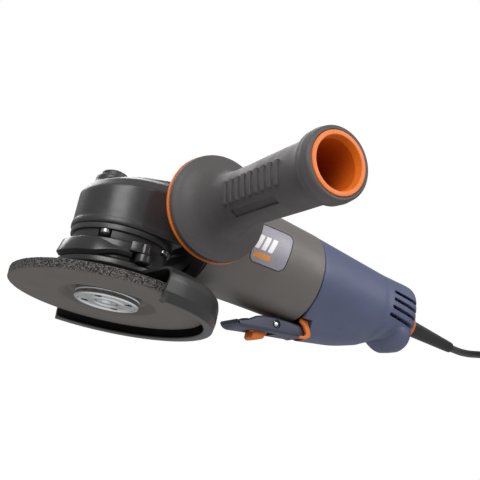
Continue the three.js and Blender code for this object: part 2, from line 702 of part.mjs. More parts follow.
// ---------------------------------------------------------------- paddle and lock-off lever
function addPaddle() {
  const [px, pz] = PADDLE_PIVOT;
  const [lx, lz] = LOCK_PIVOT;
  const outline = [
    [88.8, 13.6], [89.6, 11.4], [91.8, 10], [94.5, 9.5], [104.3, 11.1], [142.1, 16.3], [146.7, 17],
    [146.7, 21], [145.8, 24.6], [131, 24.4], [118, 23.7], [108.8, 22.3], [104.6, 20.9], [97.4, 16.3],
    [92, 14.6], [89, 14.1],
  ];
  const pocket = [[99, 14.3], [109, 14.1], [137.5, 18], [144.6, 19], [144.6, 30], [99, 30]];
  const arms = [
    [146, 20.6], [151, 21.9], [160, 23.8], [168, 25], [174, 25], [175.6, 27], [175.6, 29.6],
    [174, 31.4], [169, 31.4], [160, 28.6], [150, 24.8], [146, 24.2],
  ];
  const blade = cut(sidePlate(outline, -11, 11), sidePlate(pocket, -9, 9));
  const body = cut(
    join(blade, sidePlate(arms, -5.6, 5.6)),
    box(104, 126, -5.6, 5.6, 5, 30),
    moved(alongMinusY(rod(2.3, -20, 20, 14)), px, 0, pz),
    moved(alongMinusY(rod(2.3, -20, 20, 14)), lx, 0, lz),
  );
  add(grinder, 'paddle', body, bluePlastic);

  const thumb = [
    [124.6, 18], [124.9, 20.6], [123.4, 22], [120.6, 22.6], [118, 21.6], [116.4, 18.9], [112.4, 16.6],
    [108.6, 14.2], [107, 10.6], [106.8, 6.8], [108.8, 5.6], [112.4, 6.6], [116, 8.2], [118.2, 12.6],
    [120.2, 15.8],
  ];
  const lever = cut(sidePlate(thumb, -5.3, 5.3), moved(alongMinusY(rod(2.3, -20, 20, 14)), lx, 0, lz));
  add(grinder, 'lock_off_lever', lever, orangePlastic);
  add(grinder, 'lock_off_pin', moved(alongMinusY(rod(2, -11.8, 11.8, 14)), lx, 0, lz), brightSteel);
}

// ---------------------------------------------------------------- strain relief
const RELIEF_AT = [243.4, 56.4];
const RELIEF_SLOPE = THREE.MathUtils.degToRad(4.4);
const RELIEF_LENGTH = 55;

function addStrainRelief() {
  const relief = new THREE.Group();
  relief.position.set(RELIEF_AT[0], 0, RELIEF_AT[1]);
  relief.rotation.y = RELIEF_SLOPE;
  grinder.add(relief);
  const profile = [
    [0, -13.6], [9.2, -13.6], [9.2, -11.4], [7, -11.4], [7, 1], [6.8, 3.8], [4.1, RELIEF_LENGTH],
    [0, RELIEF_LENGTH],
  ];
  add(relief, 'strain_relief', alongX(turned(profile, 20)), blackRubber);
  add(relief, 'relief_collar', alongX(ring(7.4, 9.4, 0.8, 6.8, 24)), orangePlastic);
}

// ---------------------------------------------------------------- mains lead
// Middle line of the lead from the strain relief to the coil, on the bench, and from the
// coil's top turn down to the plug.
const LEAD = [
  [181.4, 49.2, 6.8], [185.4, 49.2, 5.7], [189.4, 49.2, 4.8], [193.4, 49.2, 4], [198, 49.2, 3.4],
  [203, 49.2, 3], [208, 49.2, 2.9], [213, 49.2, 2.9], [219, 49.2, 2.9], [225.4, 49.2, 2.9],
];
const LEAD_END = [
  [289.4, -15, 18.8], [289.4, -22, 17.5], [289.4, -29, 16.1], [289.4, -36, 14.9], [289.4, -42, 14],
  [289.4, -48, 13.6],
];
const PLUG_AT = [289.4, -48.3, 13.6];

function addLead(group) {
  const facets = 10;
  const section = new THREE.Shape();
  for (let i = 0; i < facets; i++) {
    const [u, v] = polar(CORD_R, (360 * (i + 0.5)) / facets);
    if (i === 0) section.moveTo(u, v);
    else section.lineTo(u, v);
  }
  const tube = (route, steps) => {
    const extrudePath = new THREE.CatmullRomCurve3(route.map((point) => new THREE.Vector3(...point)));
    return new THREE.ExtrudeGeometry(section, { steps, extrudePath, curveSegments: 1 });
  };
  add(group, 'cord', tube(LEAD, 14), blackRubber);
  add(group, 'cord_end', tube(LEAD_END, 8), blackRubber);
  const coil = moved(ring(COIL_IN_R, COIL_OUT_R, 0, COIL_TOP_Z, 36), COIL_X, COIL_Y, 0);
  add(group, 'cord_coil', coil, blackRubber);

  const plug = new THREE.Group();
  plug.position.set(...PLUG_AT);
  plug.rotation.z = -Math.PI / 2; // the plug's own +X points along -Y
  group.add(plug);
  const shell = loft(
    [
      [0, 4.1, -4.1, 4.1, 2], [14, 5.6, -5.6, 5.8, 2], [17, 8.5, -8.5, 10.5, 2.3], [25, 12, -12, 16.5, 2.7],
      [36, 13.2, -13.2, 18.2, 3], [48, 13.3, -13.3, 18.4, 3.2], [50.5, 12.4, -12.4, 17.5, 3.2],
    ].map((ringSizes) => boxyRing(ringSizes)),
  );
  add(plug, 'plug_body', shell, blackRubber);
  const pins = [-9.5, 9.5].map((y) => moved(alongX(rod(2.4, 51, 71.3, 12)), 0, y, 0));
  add(plug, 'plug_insert', join(box(50.8, 52.3, -14.5, 14.5, -6, 6), ...pins), blackPlastic);
}

addGearHousing();
addLockButton();
addSpindle();
addGuard();
addSideHandle();
addMotorHousing();
addArmature();
addRearHousing();
addSwitchGear();
addPaddle();
addStrainRelief();

// Set the tool down: lean it back, stand it on the bench and centre it on its footprint.
grinder.rotation.y = LEAN;
grinder.updateMatrixWorld(true);
const footprint = new THREE.Box3().setFromObject(grinder, true);
const middle = footprint.getCenter(new THREE.Vector3());
grinder.position.set(-middle.x, -middle.y, -footprint.min.z);

const part = new THREE.Group();
part.add(grinder);
addLead(part);

export default part;
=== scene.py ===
import json
import math

import bmesh
import bpy
from mathutils import Matrix, Vector, noise


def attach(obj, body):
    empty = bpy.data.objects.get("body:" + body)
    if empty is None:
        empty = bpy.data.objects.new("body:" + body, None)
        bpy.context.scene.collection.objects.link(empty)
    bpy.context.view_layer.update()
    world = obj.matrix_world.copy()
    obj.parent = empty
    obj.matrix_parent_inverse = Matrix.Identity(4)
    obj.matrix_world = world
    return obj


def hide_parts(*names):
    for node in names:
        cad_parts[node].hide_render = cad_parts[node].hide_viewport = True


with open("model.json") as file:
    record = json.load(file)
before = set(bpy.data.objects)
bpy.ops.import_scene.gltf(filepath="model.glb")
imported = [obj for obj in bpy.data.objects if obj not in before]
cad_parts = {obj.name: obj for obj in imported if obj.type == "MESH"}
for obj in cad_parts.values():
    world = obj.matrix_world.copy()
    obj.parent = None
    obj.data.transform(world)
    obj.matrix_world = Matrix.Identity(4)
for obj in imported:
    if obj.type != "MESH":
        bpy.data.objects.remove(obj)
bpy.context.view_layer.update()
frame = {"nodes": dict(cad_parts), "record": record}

# ---- the tool's own frame
# Pieces are drawn in millimetres in the tool's frame: Z is the spindle's axis, z = 0 the working
# face of the disc, +X the motor's direction and the side handle points along -Y.
JOINTS = {joint["name"]: joint for joint in frame["record"]["behaviour"]["joints"]}
ORIGIN = Vector(JOINTS["spindle_spin"]["pos_m"])
TOOL_X = Vector(JOINTS["armature_spin"]["axis"])
TOOL_Z = Vector(JOINTS["spindle_spin"]["axis"])
TOOL_Y = TOOL_Z.cross(TOOL_X)
TURN = Matrix((TOOL_X, TOOL_Y, TOOL_Z)).transposed()
MM = 0.001
TO_WORLD = Matrix.Translation(ORIGIN) @ TURN.to_4x4() @ Matrix.Scale(MM, 4)
LEAN = math.atan2(TOOL_Z.x, TOOL_Z.z)
BENCH = Matrix.Scale(MM, 4)

MOTOR_Z = 61.6
HEAD_R = 33.3
HANDLE_X = 36.0
HANDLE_Z = 65.2
HANDLE_END = 167.5
PADDLE_PIVOT = (171.5, 28.2)
LOCK_PIVOT = (121.0, 19.4)
BUTTON_X = -15.0


def rad(degrees):
    return math.radians(degrees)


def polar(radius, degrees):
    return radius * math.cos(rad(degrees)), radius * math.sin(rad(degrees))


# ---- camera
def add_camera():
    data = bpy.data.cameras.new("camera")
    data.lens = 63.58
    data.sensor_width = 36.0
    data.clip_start = 0.01
    data.clip_end = 20.0
    camera = bpy.data.objects.new("camera", data)
    right = Vector((0.8370, -0.5473, 0.0050)).normalized()
    up = Vector((-0.1167, -0.1694, 0.9786)).normalized()
    back = right.cross(up).normalized()
    up = back.cross(right)
    turn = Matrix((right, up, back)).transposed().to_4x4()
    camera.matrix_world = Matrix.Translation((-0.3386, -0.4355, -0.0497)) @ turn
    bpy.context.scene.collection.objects.link(camera)
    bpy.context.scene.camera = camera


add_camera()


# ---- mesh building
def rounded(points, closed=True, steps=5):
    """Outline of (u, v) or (u, v, radius) points, with an arc at each corner that has a radius."""
    outline = []
    count = len(points)
    for i, point in enumerate(points):
        radius = point[2] if len(point) > 2 else 0
        if radius <= 0 or (not closed and i in (0, count - 1)):
            outline.append((point[0], point[1]))
            continue
        corner = Vector(point[:2])
        before = Vector(points[i - 1][:2]) - corner
        after = Vector(points[(i + 1) % count][:2]) - corner
        angle = before.angle(after)
        if angle > 3.1:
            outline.append((point[0], point[1]))
            continue
        reach = min(radius / math.tan(angle / 2), 0.49 * before.length, 0.49 * after.length)
        fillet = reach * math.tan(angle / 2)
        middle = (before.normalized() + after.normalized()).normalized()
        centre = corner + middle * (fillet / math.sin(angle / 2))
        start = corner + before.normalized() * reach - centre
        end = corner + after.normalized() * reach - centre
        first = math.atan2(start.y, start.x)
        sweep = (math.atan2(end.y, end.x) - first + math.pi) % (2 * math.pi) - math.pi
        for k in range(steps + 1):
            turn = first + sweep * k / steps
            outline.append((centre.x + fillet * math.cos(turn), centre.y + fillet * math.sin(turn)))
    return outline


def body_of(verts, faces):
    """Scratch object with outward faces."""
    mesh = bpy.data.meshes.new("part")
    mesh.from_pydata([tuple(v) for v in verts], [], faces)
    work = bmesh.new()
    work.from_mesh(mesh)
    bmesh.ops.remove_doubles(work, verts=work.verts, dist=1e-4)
    bmesh.ops.recalc_face_normals(work, faces=work.faces)
    work.to_mesh(mesh)
    work.free()
    obj = bpy.data.objects.new("part", mesh)
    bpy.context.scene.collection.objects.link(obj)
    return obj


def turned(profile, steps=128, arc=None, closed=None):
    """Body turned about Z from a profile of (radius, z); arc = (from, to) in degrees leaves flat ends."""
    profile = list(profile)
    if closed is None:
        closed = not (profile[0][0] == 0 and profile[-1][0] == 0)
    full = arc is None
    low, high = (0, 360) if full else arc
    turns = steps if full else steps + 1
    count = len(profile)
    verts = []
    for k in range(turns):
        angle = rad(low + (high - low) * k / steps)
        verts += [(r * math.cos(angle), r * math.sin(angle), z) for r, z in profile]
    faces = []
    rows = count if closed else count - 1
    for k in range(steps):
        after = (k + 1) % turns
        for i in range(rows):
            j = (i + 1) % count
            faces.append((k * count + i, k * count + j, after * count + j, after * count + i))
    if not full:
        faces.append(tuple(range(count)))
        faces.append(tuple(range(steps * count, (steps + 1) * count)))
    return body_of(verts, faces)


def lathe(points, steps=128):
    """Body turned from a profile that starts and ends on the axis, with its corners rounded."""
    return turned(rounded(points, closed=False), steps)


def plate(outline, low, high, plane="xz", edge=0.0, steps=3):
    """Outline made a plate from low to high, its rim edges rounded. xz reaches along y, xy along z."""
    count = len(outline)
    levels = [(low, 0.0), (high, 0.0)]
    if edge > 0:
        turns = [rad(90 * k / steps) for k in range(steps + 1)]
        levels = [(low + edge * (1 - math.sin(t)), edge * (1 - math.cos(t))) for t in reversed(turns)]
        levels += [(high - edge * (1 - math.sin(t)), edge * (1 - math.cos(t))) for t in turns]
        levels = sorted(set((round(z, 5), round(d, 5)) for z, d in levels))
    area = sum(
        outline[i][0] * outline[(i + 1) % count][1] - outline[(i + 1) % count][0] * outline[i][1]
        for i in range(count)
    )
    way = 1 if area > 0 else -1

    def inset(i, depth):
        if depth == 0:
            return outline[i]
        here = Vector(outline[i])
        before = (here - Vector(outline[i - 1])).normalized()
        after = (Vector(outline[(i + 1) % count]) - here).normalized()
        normal = Vector((-(before.y + after.y), before.x + after.x)) * way
        if normal.length < 1e-6:
            return outline[i]
        normal.normalize()
        lean = max(0.5, normal.dot(Vector((-before.y, before.x)) * way))
        moved_to = here + normal * depth / lean
        return moved_to.x, moved_to.y

    verts = []
    for level, depth in levels:
        for i in range(count):
            u, v = inset(i, depth)
            verts.append((u, level, v) if plane == "xz" else (u, v, level))
    faces = []
    for k in range(len(levels) - 1):
        for i in range(count):
            j = (i + 1) % count
            faces.append((k * count + i, k * count + j, (k + 1) * count + j, (k + 1) * count + i))
    faces.append(tuple(range(count)))
    faces.append(tuple(range((len(levels) - 1) * count, len(levels) * count)))
    return body_of(verts, faces)


def loft(rings):
    """Closed skin over a row of equal rings of points."""
    count = len(rings[0])
    verts = [point for ring in rings for point in ring]
    faces = []
    for k in range(len(rings) - 1):
        for i in range(count):
            j = (i + 1) % count
            faces.append((k * count + i, k * count + j, (k + 1) * count + j, (k + 1) * count + i))
    faces.append(tuple(range(count)))
    faces.append(tuple(range((len(rings) - 1) * count, len(rings) * count)))
    return body_of(verts, faces)


def box(x0, x1, y0, y1, z0, z1, edge=0.0):
    outline = [(x0, z0, edge), (x1, z0, edge), (x1, z1, edge), (x0, z1, edge)]
    return plate(rounded(outline) if edge else [p[:2] for p in outline], y0, y1, edge=edge)


def cylinder(radius, low, high, steps=48):
    return turned([(0, low), (radius, low), (radius, high), (0, high)], steps)


def moved(obj, x=0.0, y=0.0, z=0.0):
    obj.data.transform(Matrix.Translation((x, y, z)))
    return obj


def spun(obj, degrees, axis):
    obj.data.transform(Matrix.Rotation(rad(degrees), 4, axis))
    return obj


def along_x(obj):
    return spun(obj, 90, "Y")


def across(obj, x=0.0, z=0.0):
    """Upright body laid along -Y through (x, z)."""
    return moved(spun(obj, 90, "X"), x, 0, z)


def on_motor(obj):
    """Upright body laid along the motor's axis."""
    return moved(along_x(obj), 0, 0, MOTOR_Z)


def apply_modifier(obj, kind, **settings):
    modifier = obj.modifiers.new("step", kind)
    for key, value in settings.items():
        setattr(modifier, key, value)
    depsgraph = bpy.context.evaluated_depsgraph_get()
    mesh = bpy.data.meshes.new_from_object(obj.evaluated_get(depsgraph))
    obj.modifiers.clear()
    old = obj.data
    obj.data = mesh
    bpy.data.meshes.remove(old)
    return obj


def drop(obj):
    mesh = obj.data
    bpy.data.objects.remove(obj)
    bpy.data.meshes.remove(mesh)


def combine(obj, others, operation):
    for other in others:
        apply_modifier(obj, "BOOLEAN", operation=operation, object=other, solver="MANIFOLD")
        drop(other)
    return obj


def join(obj, *others):
    return combine(obj, others, "UNION")


def cut(obj, *others):
    return combine(obj, others, "DIFFERENCE")


def common(obj, *others):
    return combine(obj, others, "INTERSECT")


def cross_cut(screw, reach, low, high):
    """Crossed slots in a screw's head."""
    cut(screw, box(-reach, reach, -0.4, 0.4, low, high), box(-0.4, 0.4, -reach, reach, low, high))


def melt(obj, voxel, rounds):
    """One even skin over joined bodies, with soft fillets where they meet."""
    apply_modifier(obj, "REMESH", mode="VOXEL", voxel_size=voxel, adaptivity=0.0)
    return apply_modifier(obj, "SMOOTH", factor=0.5, iterations=rounds)


def triangulated(obj):
    """The same body with flat triangles only, for outlines that the boolean would cap wrongly."""
    mesh = bmesh.new()
    mesh.from_mesh(obj.data)
    bmesh.ops.triangulate(mesh, faces=mesh.faces[:])
    mesh.to_mesh(obj.data)
    mesh.free()
    return obj


def copy_of(obj):
    twin = bpy.data.objects.new("part", obj.data.copy())
    bpy.context.scene.collection.objects.link(twin)
    return twin


def piece(obj, name, nodes, material, space=TO_WORLD, body="housing", sharp=32.0, second=None,
          where=None):
    """Finished piece: moved to the world frame, shaded, tied to its body, and hiding the CAD nodes it stands
    in for.

    Faces whose middle, in the space the piece is drawn in, answers to where() take the second material.
    """
    obj.data.materials.clear()
    obj.data.materials.append(material)
    if second is not None:
        obj.data.materials.append(second)
    for face in obj.data.polygons:
        face.material_index = int(second is not None and where(face.center))
    obj.data.transform(space)
    work = bmesh.new()
    work.from_mesh(obj.data)
    bmesh.ops.remove_doubles(work, verts=work.verts, dist=2e-6)
    bmesh.ops.dissolve_degenerate(work, edges=work.edges, dist=1e-6)
    bmesh.ops.recalc_face_normals(work, faces=work.faces)
    work.to_mesh(obj.data)
    work.free()
    obj.name = name
    obj.data.name = name
    obj.data.shade_smooth()
    obj.data.set_sharp_from_angle(angle=rad(sharp))
    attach(obj, body)
    if nodes:
        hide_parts(*nodes)
    return obj


# ---- materials
def new_material(name):
    material = bpy.data.materials.new(name)
    material.use_nodes = True
    tree = material.node_tree
    return material, tree, tree.nodes["Principled BSDF"]


def node(tree, kind, **values):
    made = tree.nodes.new(kind)
    for key, value in values.items():
        if hasattr(made, key):
            setattr(made, key, value)
        else:
            made.inputs[key.replace("_", " ")].default_value = value
    return made


def place_of(tree, in_tool_frame=False):
    """Coordinates in metres, or in the tool's frame."""
    coordinates = node(tree, "ShaderNodeTexCoord")
    if not in_tool_frame:
        return coordinates.outputs["Object"]
    back = TURN.transposed()
    mapping = node(tree, "ShaderNodeMapping", Location=-(back @ ORIGIN), Rotation=back.to_euler("XYZ"))
    link(coordinates.outputs["Object"], mapping.inputs["Vector"])
    return mapping.outputs["Vector"]


def link(start, end):
    end.id_data.links.new(start, end)


def noise_node(place, scale, detail=3.0, rough=0.55):
    made = node(place.id_data, "ShaderNodeTexNoise", Scale=scale, Detail=detail, Roughness=rough)
    link(place, made.inputs["Vector"])
    return made.outputs["Fac"]


def spread(value, low, high, to_low=0.0, to_high=1.0):
    made = node(value.id_data, "ShaderNodeMapRange", From_Min=low, From_Max=high, To_Min=to_low,
                To_Max=to_high)
    link(value, made.inputs["Value"])
    return made.outputs["Result"]


def mixed(factor, low, high):
    made = node(factor.id_data, "ShaderNodeMix", data_type="RGBA")
    for socket, value in ((6, low), (7, high)):
        if isinstance(value, (tuple, list)):
            made.inputs[socket].default_value = (*value, 1.0)
        else:
            link(value, made.inputs[socket])
    link(factor, made.inputs[0])
    return made.outputs[2]


def bumped(height, strength, distance, before=None):
    made = node(height.id_data, "ShaderNodeBump", Strength=strength, Distance=distance)
    link(height, made.inputs["Height"])
    if before is not None:
        link(before, made.inputs["Normal"])
    return made.outputs["Normal"]


def tint(color, factor):
    return tuple(min(1.0, channel * factor) for channel in color)


def moulded(name, color, rough, grain=0.0007, bump=0.25, mottle=0.12, wear=0.25, specular=0.5):
    """Plastic, rubber or paint: uneven tone, a fine grain in the surface and lighter worn edges."""
    material, tree, shader = new_material(name)
    place = place_of(tree)
    cloud = spread(noise_node(place, 28.0, 4.0), 0.3, 0.7)
    speck = spread(noise_node(place, 1.0 / grain, 2.0), 0.35, 0.65)
    base = mixed(cloud, tint(color, 1 - mottle), tint(color, 1 + mottle))
    grained = mixed(speck, tint(color, 0.88), tint(color, 1.12))
    blended = node(tree, "ShaderNodeMix", data_type="RGBA")
    blended.inputs[0].default_value = 0.5
    link(base, blended.inputs[6])
    link(grained, blended.inputs[7])
    point = node(tree, "ShaderNodeNewGeometry")
    edge = spread(point.outputs["Pointiness"], 0.52, 0.62, 0.0, wear)
    link(mixed(edge, blended.outputs[2], tint(color, 2.2)), shader.inputs["Base Color"])
    patches = spread(noise_node(place, 90.0, 4.0), 0.3, 0.7, rough - 0.06, rough + 0.08)
    link(patches, shader.inputs["Roughness"])
    shader.inputs["Specular IOR Level"].default_value = specular
    height = noise_node(place, 1.0 / grain, 3.0, 0.6)
    link(bumped(height, bump, grain * 0.12), shader.inputs["Normal"])
    return material


def metal(name, color, rough, rings=False):
    """Bare or plated metal with faint patches and scratches, or turned rings round the spindle."""
    material, tree, shader = new_material(name)
    place = place_of(tree, in_tool_frame=rings)
    cloud = spread(noise_node(place, 60.0, 5.0), 0.3, 0.7)
    link(mixed(cloud, tint(color, 0.86), tint(color, 1.08)), shader.inputs["Base Color"])
    shader.inputs["Metallic"].default_value = 1.0
    patches = spread(noise_node(place, 240.0, 5.0), 0.3, 0.7, rough - 0.06, rough + 0.12)
    link(patches, shader.inputs["Roughness"])
    if rings:
        wave = node(tree, "ShaderNodeTexWave", wave_type="RINGS", rings_direction="Z", Scale=420.0,
                    Distortion=0.6, Detail_Scale=40.0)
        link(place, wave.inputs["Vector"])
        height = wave.outputs["Fac"]
    else:
        height = noise_node(place, 1600.0, 3.0)
    link(bumped(height, 0.15, 0.00006), shader.inputs["Normal"])
    return material


def stone_material():
    """Bonded grit: smooth warm grey on the faces, dark with pale grains where the rim is worn open."""
    material, tree, shader = new_material("bonded_grit")
    place = place_of(tree, in_tool_frame=True)
    split = node(tree, "ShaderNodeSeparateXYZ")
    link(place, split.inputs[0])
    flat = node(tree, "ShaderNodeCombineXYZ")
    link(split.outputs["X"], flat.inputs["X"])
    link(split.outputs["Y"], flat.inputs["Y"])
    length = node(tree, "ShaderNodeVectorMath", operation="LENGTH")
    link(flat.outputs[0], length.inputs[0])
    ragged = node(tree, "ShaderNodeMath", operation="MULTIPLY_ADD")
    ragged.inputs[1].default_value = 0.0012
    link(noise_node(place, 900.0, 3.0), ragged.inputs[0])
    link(length.outputs["Value"], ragged.inputs[2])
    rim = spread(ragged.outputs[0], 0.0623, 0.0627)
    cloud = spread(noise_node(place, 60.0, 5.0), 0.3, 0.7)
    grey = (0.140, 0.126, 0.117)
    face = mixed(cloud, grey, (0.176, 0.161, 0.151))
    dust = spread(noise_node(place, 1500.0, 2.0), 0.4, 0.68)
    face = mixed(dust, tint(grey, 0.9), face)
    grit = node(tree, "ShaderNodeTexVoronoi", Scale=1700.0)
    link(place, grit.inputs["Vector"])
    pale = spread(grit.outputs["Color"], 0.58, 0.98)
    grains = mixed(pale, (0.016, 0.015, 0.015), (0.24, 0.22, 0.21))
    link(mixed(rim, face, grains), shader.inputs["Base Color"])
    shader.inputs["Roughness"].default_value = 0.88
    shader.inputs["Specular IOR Level"].default_value = 0.3
    fine = bumped(noise_node(place, 1400.0, 4.0), 0.35, 0.00012)
    coarse = bumped(grit.outputs["Distance"], 0.5, 0.0002, before=fine)
    link(coarse, shader.inputs["Normal"])
    return material


def winding_material():
    material, tree, shader = new_material("copper_wire")
    place = place_of(tree, in_tool_frame=True)
    wave = node(tree, "ShaderNodeTexWave", wave_type="BANDS", bands_direction="DIAGONAL", Scale=320.0,
                Distortion=1.5)
    link(place, wave.inputs["Vector"])
    copper = mixed(wave.outputs["Fac"], (0.10, 0.035, 0.012), (0.42, 0.17, 0.06))
    link(copper, shader.inputs["Base Color"])
    shader.inputs["Metallic"].default_value = 0.8
    shader.inputs["Roughness"].default_value = 0.35
    link(bumped(wave.outputs["Fac"], 0.6, 0.0003), shader.inputs["Normal"])
    return material


CAST = moulded("cast_alloy", (0.029, 0.028, 0.030), 0.36, grain=0.0006, wear=0.35)
HEAD_STEEL = metal("bright_steel", (0.42, 0.42, 0.44), 0.28)
TURNED_STEEL = metal("zinc_plated_steel", (0.62, 0.63, 0.64), 0.22, rings=True)
BRASS = metal("brass", (0.52, 0.40, 0.17), 0.3)
CORE = metal("core_steel", (0.30, 0.30, 0.32), 0.45)
BLACK_STEEL = moulded("black_steel", (0.018, 0.018, 0.02), 0.28, grain=0.0008, bump=0.15, wear=0.3)
GUARD = moulded("guard_enamel", (0.022, 0.021, 0.0205), 0.33, grain=0.0005, bump=0.12, wear=0.6,
                specular=0.6)
GLOSS_BLACK = moulded("gloss_black_plastic", (0.02, 0.02, 0.021), 0.2, grain=0.001, bump=0.06, wear=0.15)
BLACK_PLASTIC = moulded("black_plastic", (0.022, 0.022, 0.023), 0.45, bump=0.2, wear=0.2)
GRIP = moulded("soft_grip", (0.066, 0.060, 0.061), 0.58, grain=0.0009, bump=0.35, mottle=0.16,
               specular=0.4)
GREY = moulded("grey_plastic", (0.125, 0.113, 0.106), 0.48, bump=0.22, wear=0.2)
BLUE = moulded("blue_plastic", (0.074, 0.087, 0.158), 0.5, bump=0.2)
DARK_BLUE = moulded("dark_blue_plastic", (0.032, 0.037, 0.068), 0.48, bump=0.2)
# Orange darkened as painted shade for the deep inside of the handle sleeve's bore.
BORE_SHADE_ORANGE = moulded("orange_plastic_bore_shade", (0.50, 0.095, 0.006), 0.55, grain=0.0009, bump=0.15,
                      mottle=0.1, wear=0.0, specular=0.2)
ORANGE = moulded("orange_plastic", (0.66, 0.145, 0.006), 0.44, grain=0.0009, bump=0.1, mottle=0.06, wear=0.1)
LABEL = moulded("label_film", (0.275, 0.262, 0.305), 0.35, grain=0.0012, bump=0.05, mottle=0.04, wear=0.05)
LABEL_WHITE = moulded("label_white", (0.86, 0.86, 0.88), 0.4, grain=0.0012, bump=0.05, mottle=0.03, wear=0.0)
LABEL_ORANGE = moulded("label_orange", (0.66, 0.27, 0.07), 0.4, grain=0.0012, bump=0.05, mottle=0.04,
                       wear=0.0)
RUBBER = moulded("black_rubber", (0.013, 0.013, 0.014), 0.5, grain=0.0006, bump=0.3, wear=0.3)
SHEATH = moulded("cord_sheath", (0.034, 0.034, 0.035), 0.42, grain=0.0005, bump=0.15, wear=0.0)
CARBON = moulded("carbon", (0.03, 0.03, 0.032), 0.75, bump=0.3, wear=0.2)
COPPER = winding_material()
STONE = stone_material()


# ---- the mains lead
CORD_R = 2.9
LEAD = [
    (181.4, 49.2, 6.85), (185.4, 49.2, 5.7), (189.4, 49.2, 4.8), (193.4, 49.2, 4.0), (198, 49.2, 3.4),
    (203, 49.2, 3.0), (208, 49.2, 2.9), (213, 49.2, 2.9), (219, 49.2, 2.9), (225.4, 49.2, 2.9),
    (233, 49.2, 2.9), (241, 49.2, 2.9),
]
COIL_AT = (248.0, 7.8)
COIL_OUT = 41.4
COIL_IN = 29.23
LAYER_UP = 5.9
LAYERS = 4
LAYER_TURNS = 2.0625
LEAD_END = [
    (289.4, 0, 20.4), (289.4, -8, 19.8), (289.4, -15, 18.8), (289.4, -22, 17.5), (289.4, -29, 16.1),
    (289.4, -36, 14.9), (289.4, -42, 14), (289.4, -48, 13.6),
]


def smooth(t):
    t = min(1.0, max(0.0, t))
    return t * t * (3 - 2 * t)


def coil_points():
    """Turns of the coil from the outside in and out again, one layer on the other."""
    per_turn = 48
    total = LAYERS * LAYER_TURNS
    steps = round(total * per_turn)
    points = []
    for k in range(steps + 1):
        turn = total * k / steps
        layer = min(LAYERS - 1, int(turn / LAYER_TURNS))
        along = turn / LAYER_TURNS - layer
        inwards = along if layer % 2 == 0 else 1 - along
        radius = COIL_OUT + (COIL_IN - COIL_OUT) * inwards
        z = CORD_R + LAYER_UP * layer
        rise = 0.25 / LAYER_TURNS
        if layer < LAYERS - 1 and along > 1 - rise / 2:
            z += LAYER_UP * smooth((along - 1 + rise / 2) / rise)
        if layer > 0 and along < rise / 2:
            z -= LAYER_UP * (1 - smooth((along + rise / 2) / rise))
        angle = rad(90) - 2 * math.pi * turn
        points.append((COIL_AT[0] + radius * math.cos(angle), COIL_AT[1] + radius * math.sin(angle), z))
    return points


def even(points, count):
    """The same line with evenly spaced points, softened by a Catmull-Rom curve."""
    knots = [Vector(p) for p in points]
    fine = []
    for i in range(len(knots) - 1):
        before = knots[max(0, i - 1)]
        after = knots[min(len(knots) - 1, i + 2)]
        a, b = knots[i], knots[i + 1]
        for k in range(8):
            t = k / 8
            fine.append(0.5 * (2 * a + (b - before) * t + (2 * before - 5 * a + 4 * b - after) * t * t
                               + (3 * a - before - 3 * b + after) * t ** 3))
    fine.append(knots[-1])
    lengths = [0.0]
    for a, b in zip(fine, fine[1:]):
        lengths.append(lengths[-1] + (b - a).length)
    out = []
    k = 0
    for i in range(count):
        want = lengths[-1] * i / (count - 1)
        while k < len(lengths) - 2 and lengths[k + 1] < want:
            k += 1
        share = (want - lengths[k]) / (lengths[k + 1] - lengths[k])
        out.append(fine[k].lerp(fine[k + 1], min(1, max(0, share))))
    return out, lengths[-1]


def tube(points, radius, sides=20):
    """Round tube along a line of points, with closed ends."""
    frames = []
    side = None
    for i, here in enumerate(points):
        ahead = points[min(i + 1, len(points) - 1)] - points[max(i - 1, 0)]
        ahead.normalize()
        side = Vector((0, 0, 1)) if side is None else side
        side = (side - ahead * side.dot(ahead)).normalized()
        frames.append((here, side, ahead.cross(side)))
    rings = [
        [here + radius * (math.cos(rad(360 * k / sides)) * a + math.sin(rad(360 * k / sides)) * b)
         for k in range(sides)]
        for here, a, b in frames
    ]
    return loft(rings)


LEAD_POINTS, LEAD_LENGTH = even(LEAD + coil_points() + LEAD_END, 900)
lead = piece(tube(LEAD_POINTS, CORD_R), "mains_lead", ["cord", "cord_coil", "cord_end"],
             SHEATH, space=BENCH, sharp=60)


# ---- plug on the lead's end
def boxy_ring(x, top, bottom, half, power, inset=0.0, points=64):
    """Section across X between a box and a circle."""
    middle = (top + bottom) / 2
    tall = (top - bottom) / 2 - inset
    ring = []
    for i in range(points):
        angle = 2 * math.pi * (i + 0.5) / points
        s, c = math.sin(angle), math.cos(angle)
        ring.append((
            x,
            (half - inset) * math.copysign(abs(s) ** (2 / power), s),
            middle + tall * math.copysign(abs(c) ** (2 / power), c),
        ))
    return ring


def through(sections, steps=6):
    """More sections between the given ones, on a smooth curve through them."""
    out = []
    for i in range(len(sections) - 1):
        before = sections[max(0, i - 1)]
        a, b = sections[i], sections[i + 1]
        after = sections[min(len(sections) - 1, i + 2)]
        for k in range(steps):
            t = k / steps
            row = [a[0] + (b[0] - a[0]) * t]
            for j in range(1, len(a)):
                left = (b[j] - before[j]) / (b[0] - before[0]) * (b[0] - a[0])
                right = (after[j] - a[j]) / (after[0] - a[0]) * (b[0] - a[0])
                row.append((2 * t ** 3 - 3 * t ** 2 + 1) * a[j] + (t ** 3 - 2 * t ** 2 + t) * left
                           + (-2 * t ** 3 + 3 * t ** 2) * b[j] + (t ** 3 - t ** 2) * right)
            out.append(tuple(row))
    out.append(tuple(sections[-1]))
    return out


PLUG = Matrix.Translation((289.4, -48.3, 13.6)) @ Matrix.Rotation(rad(-90), 4, "Z")


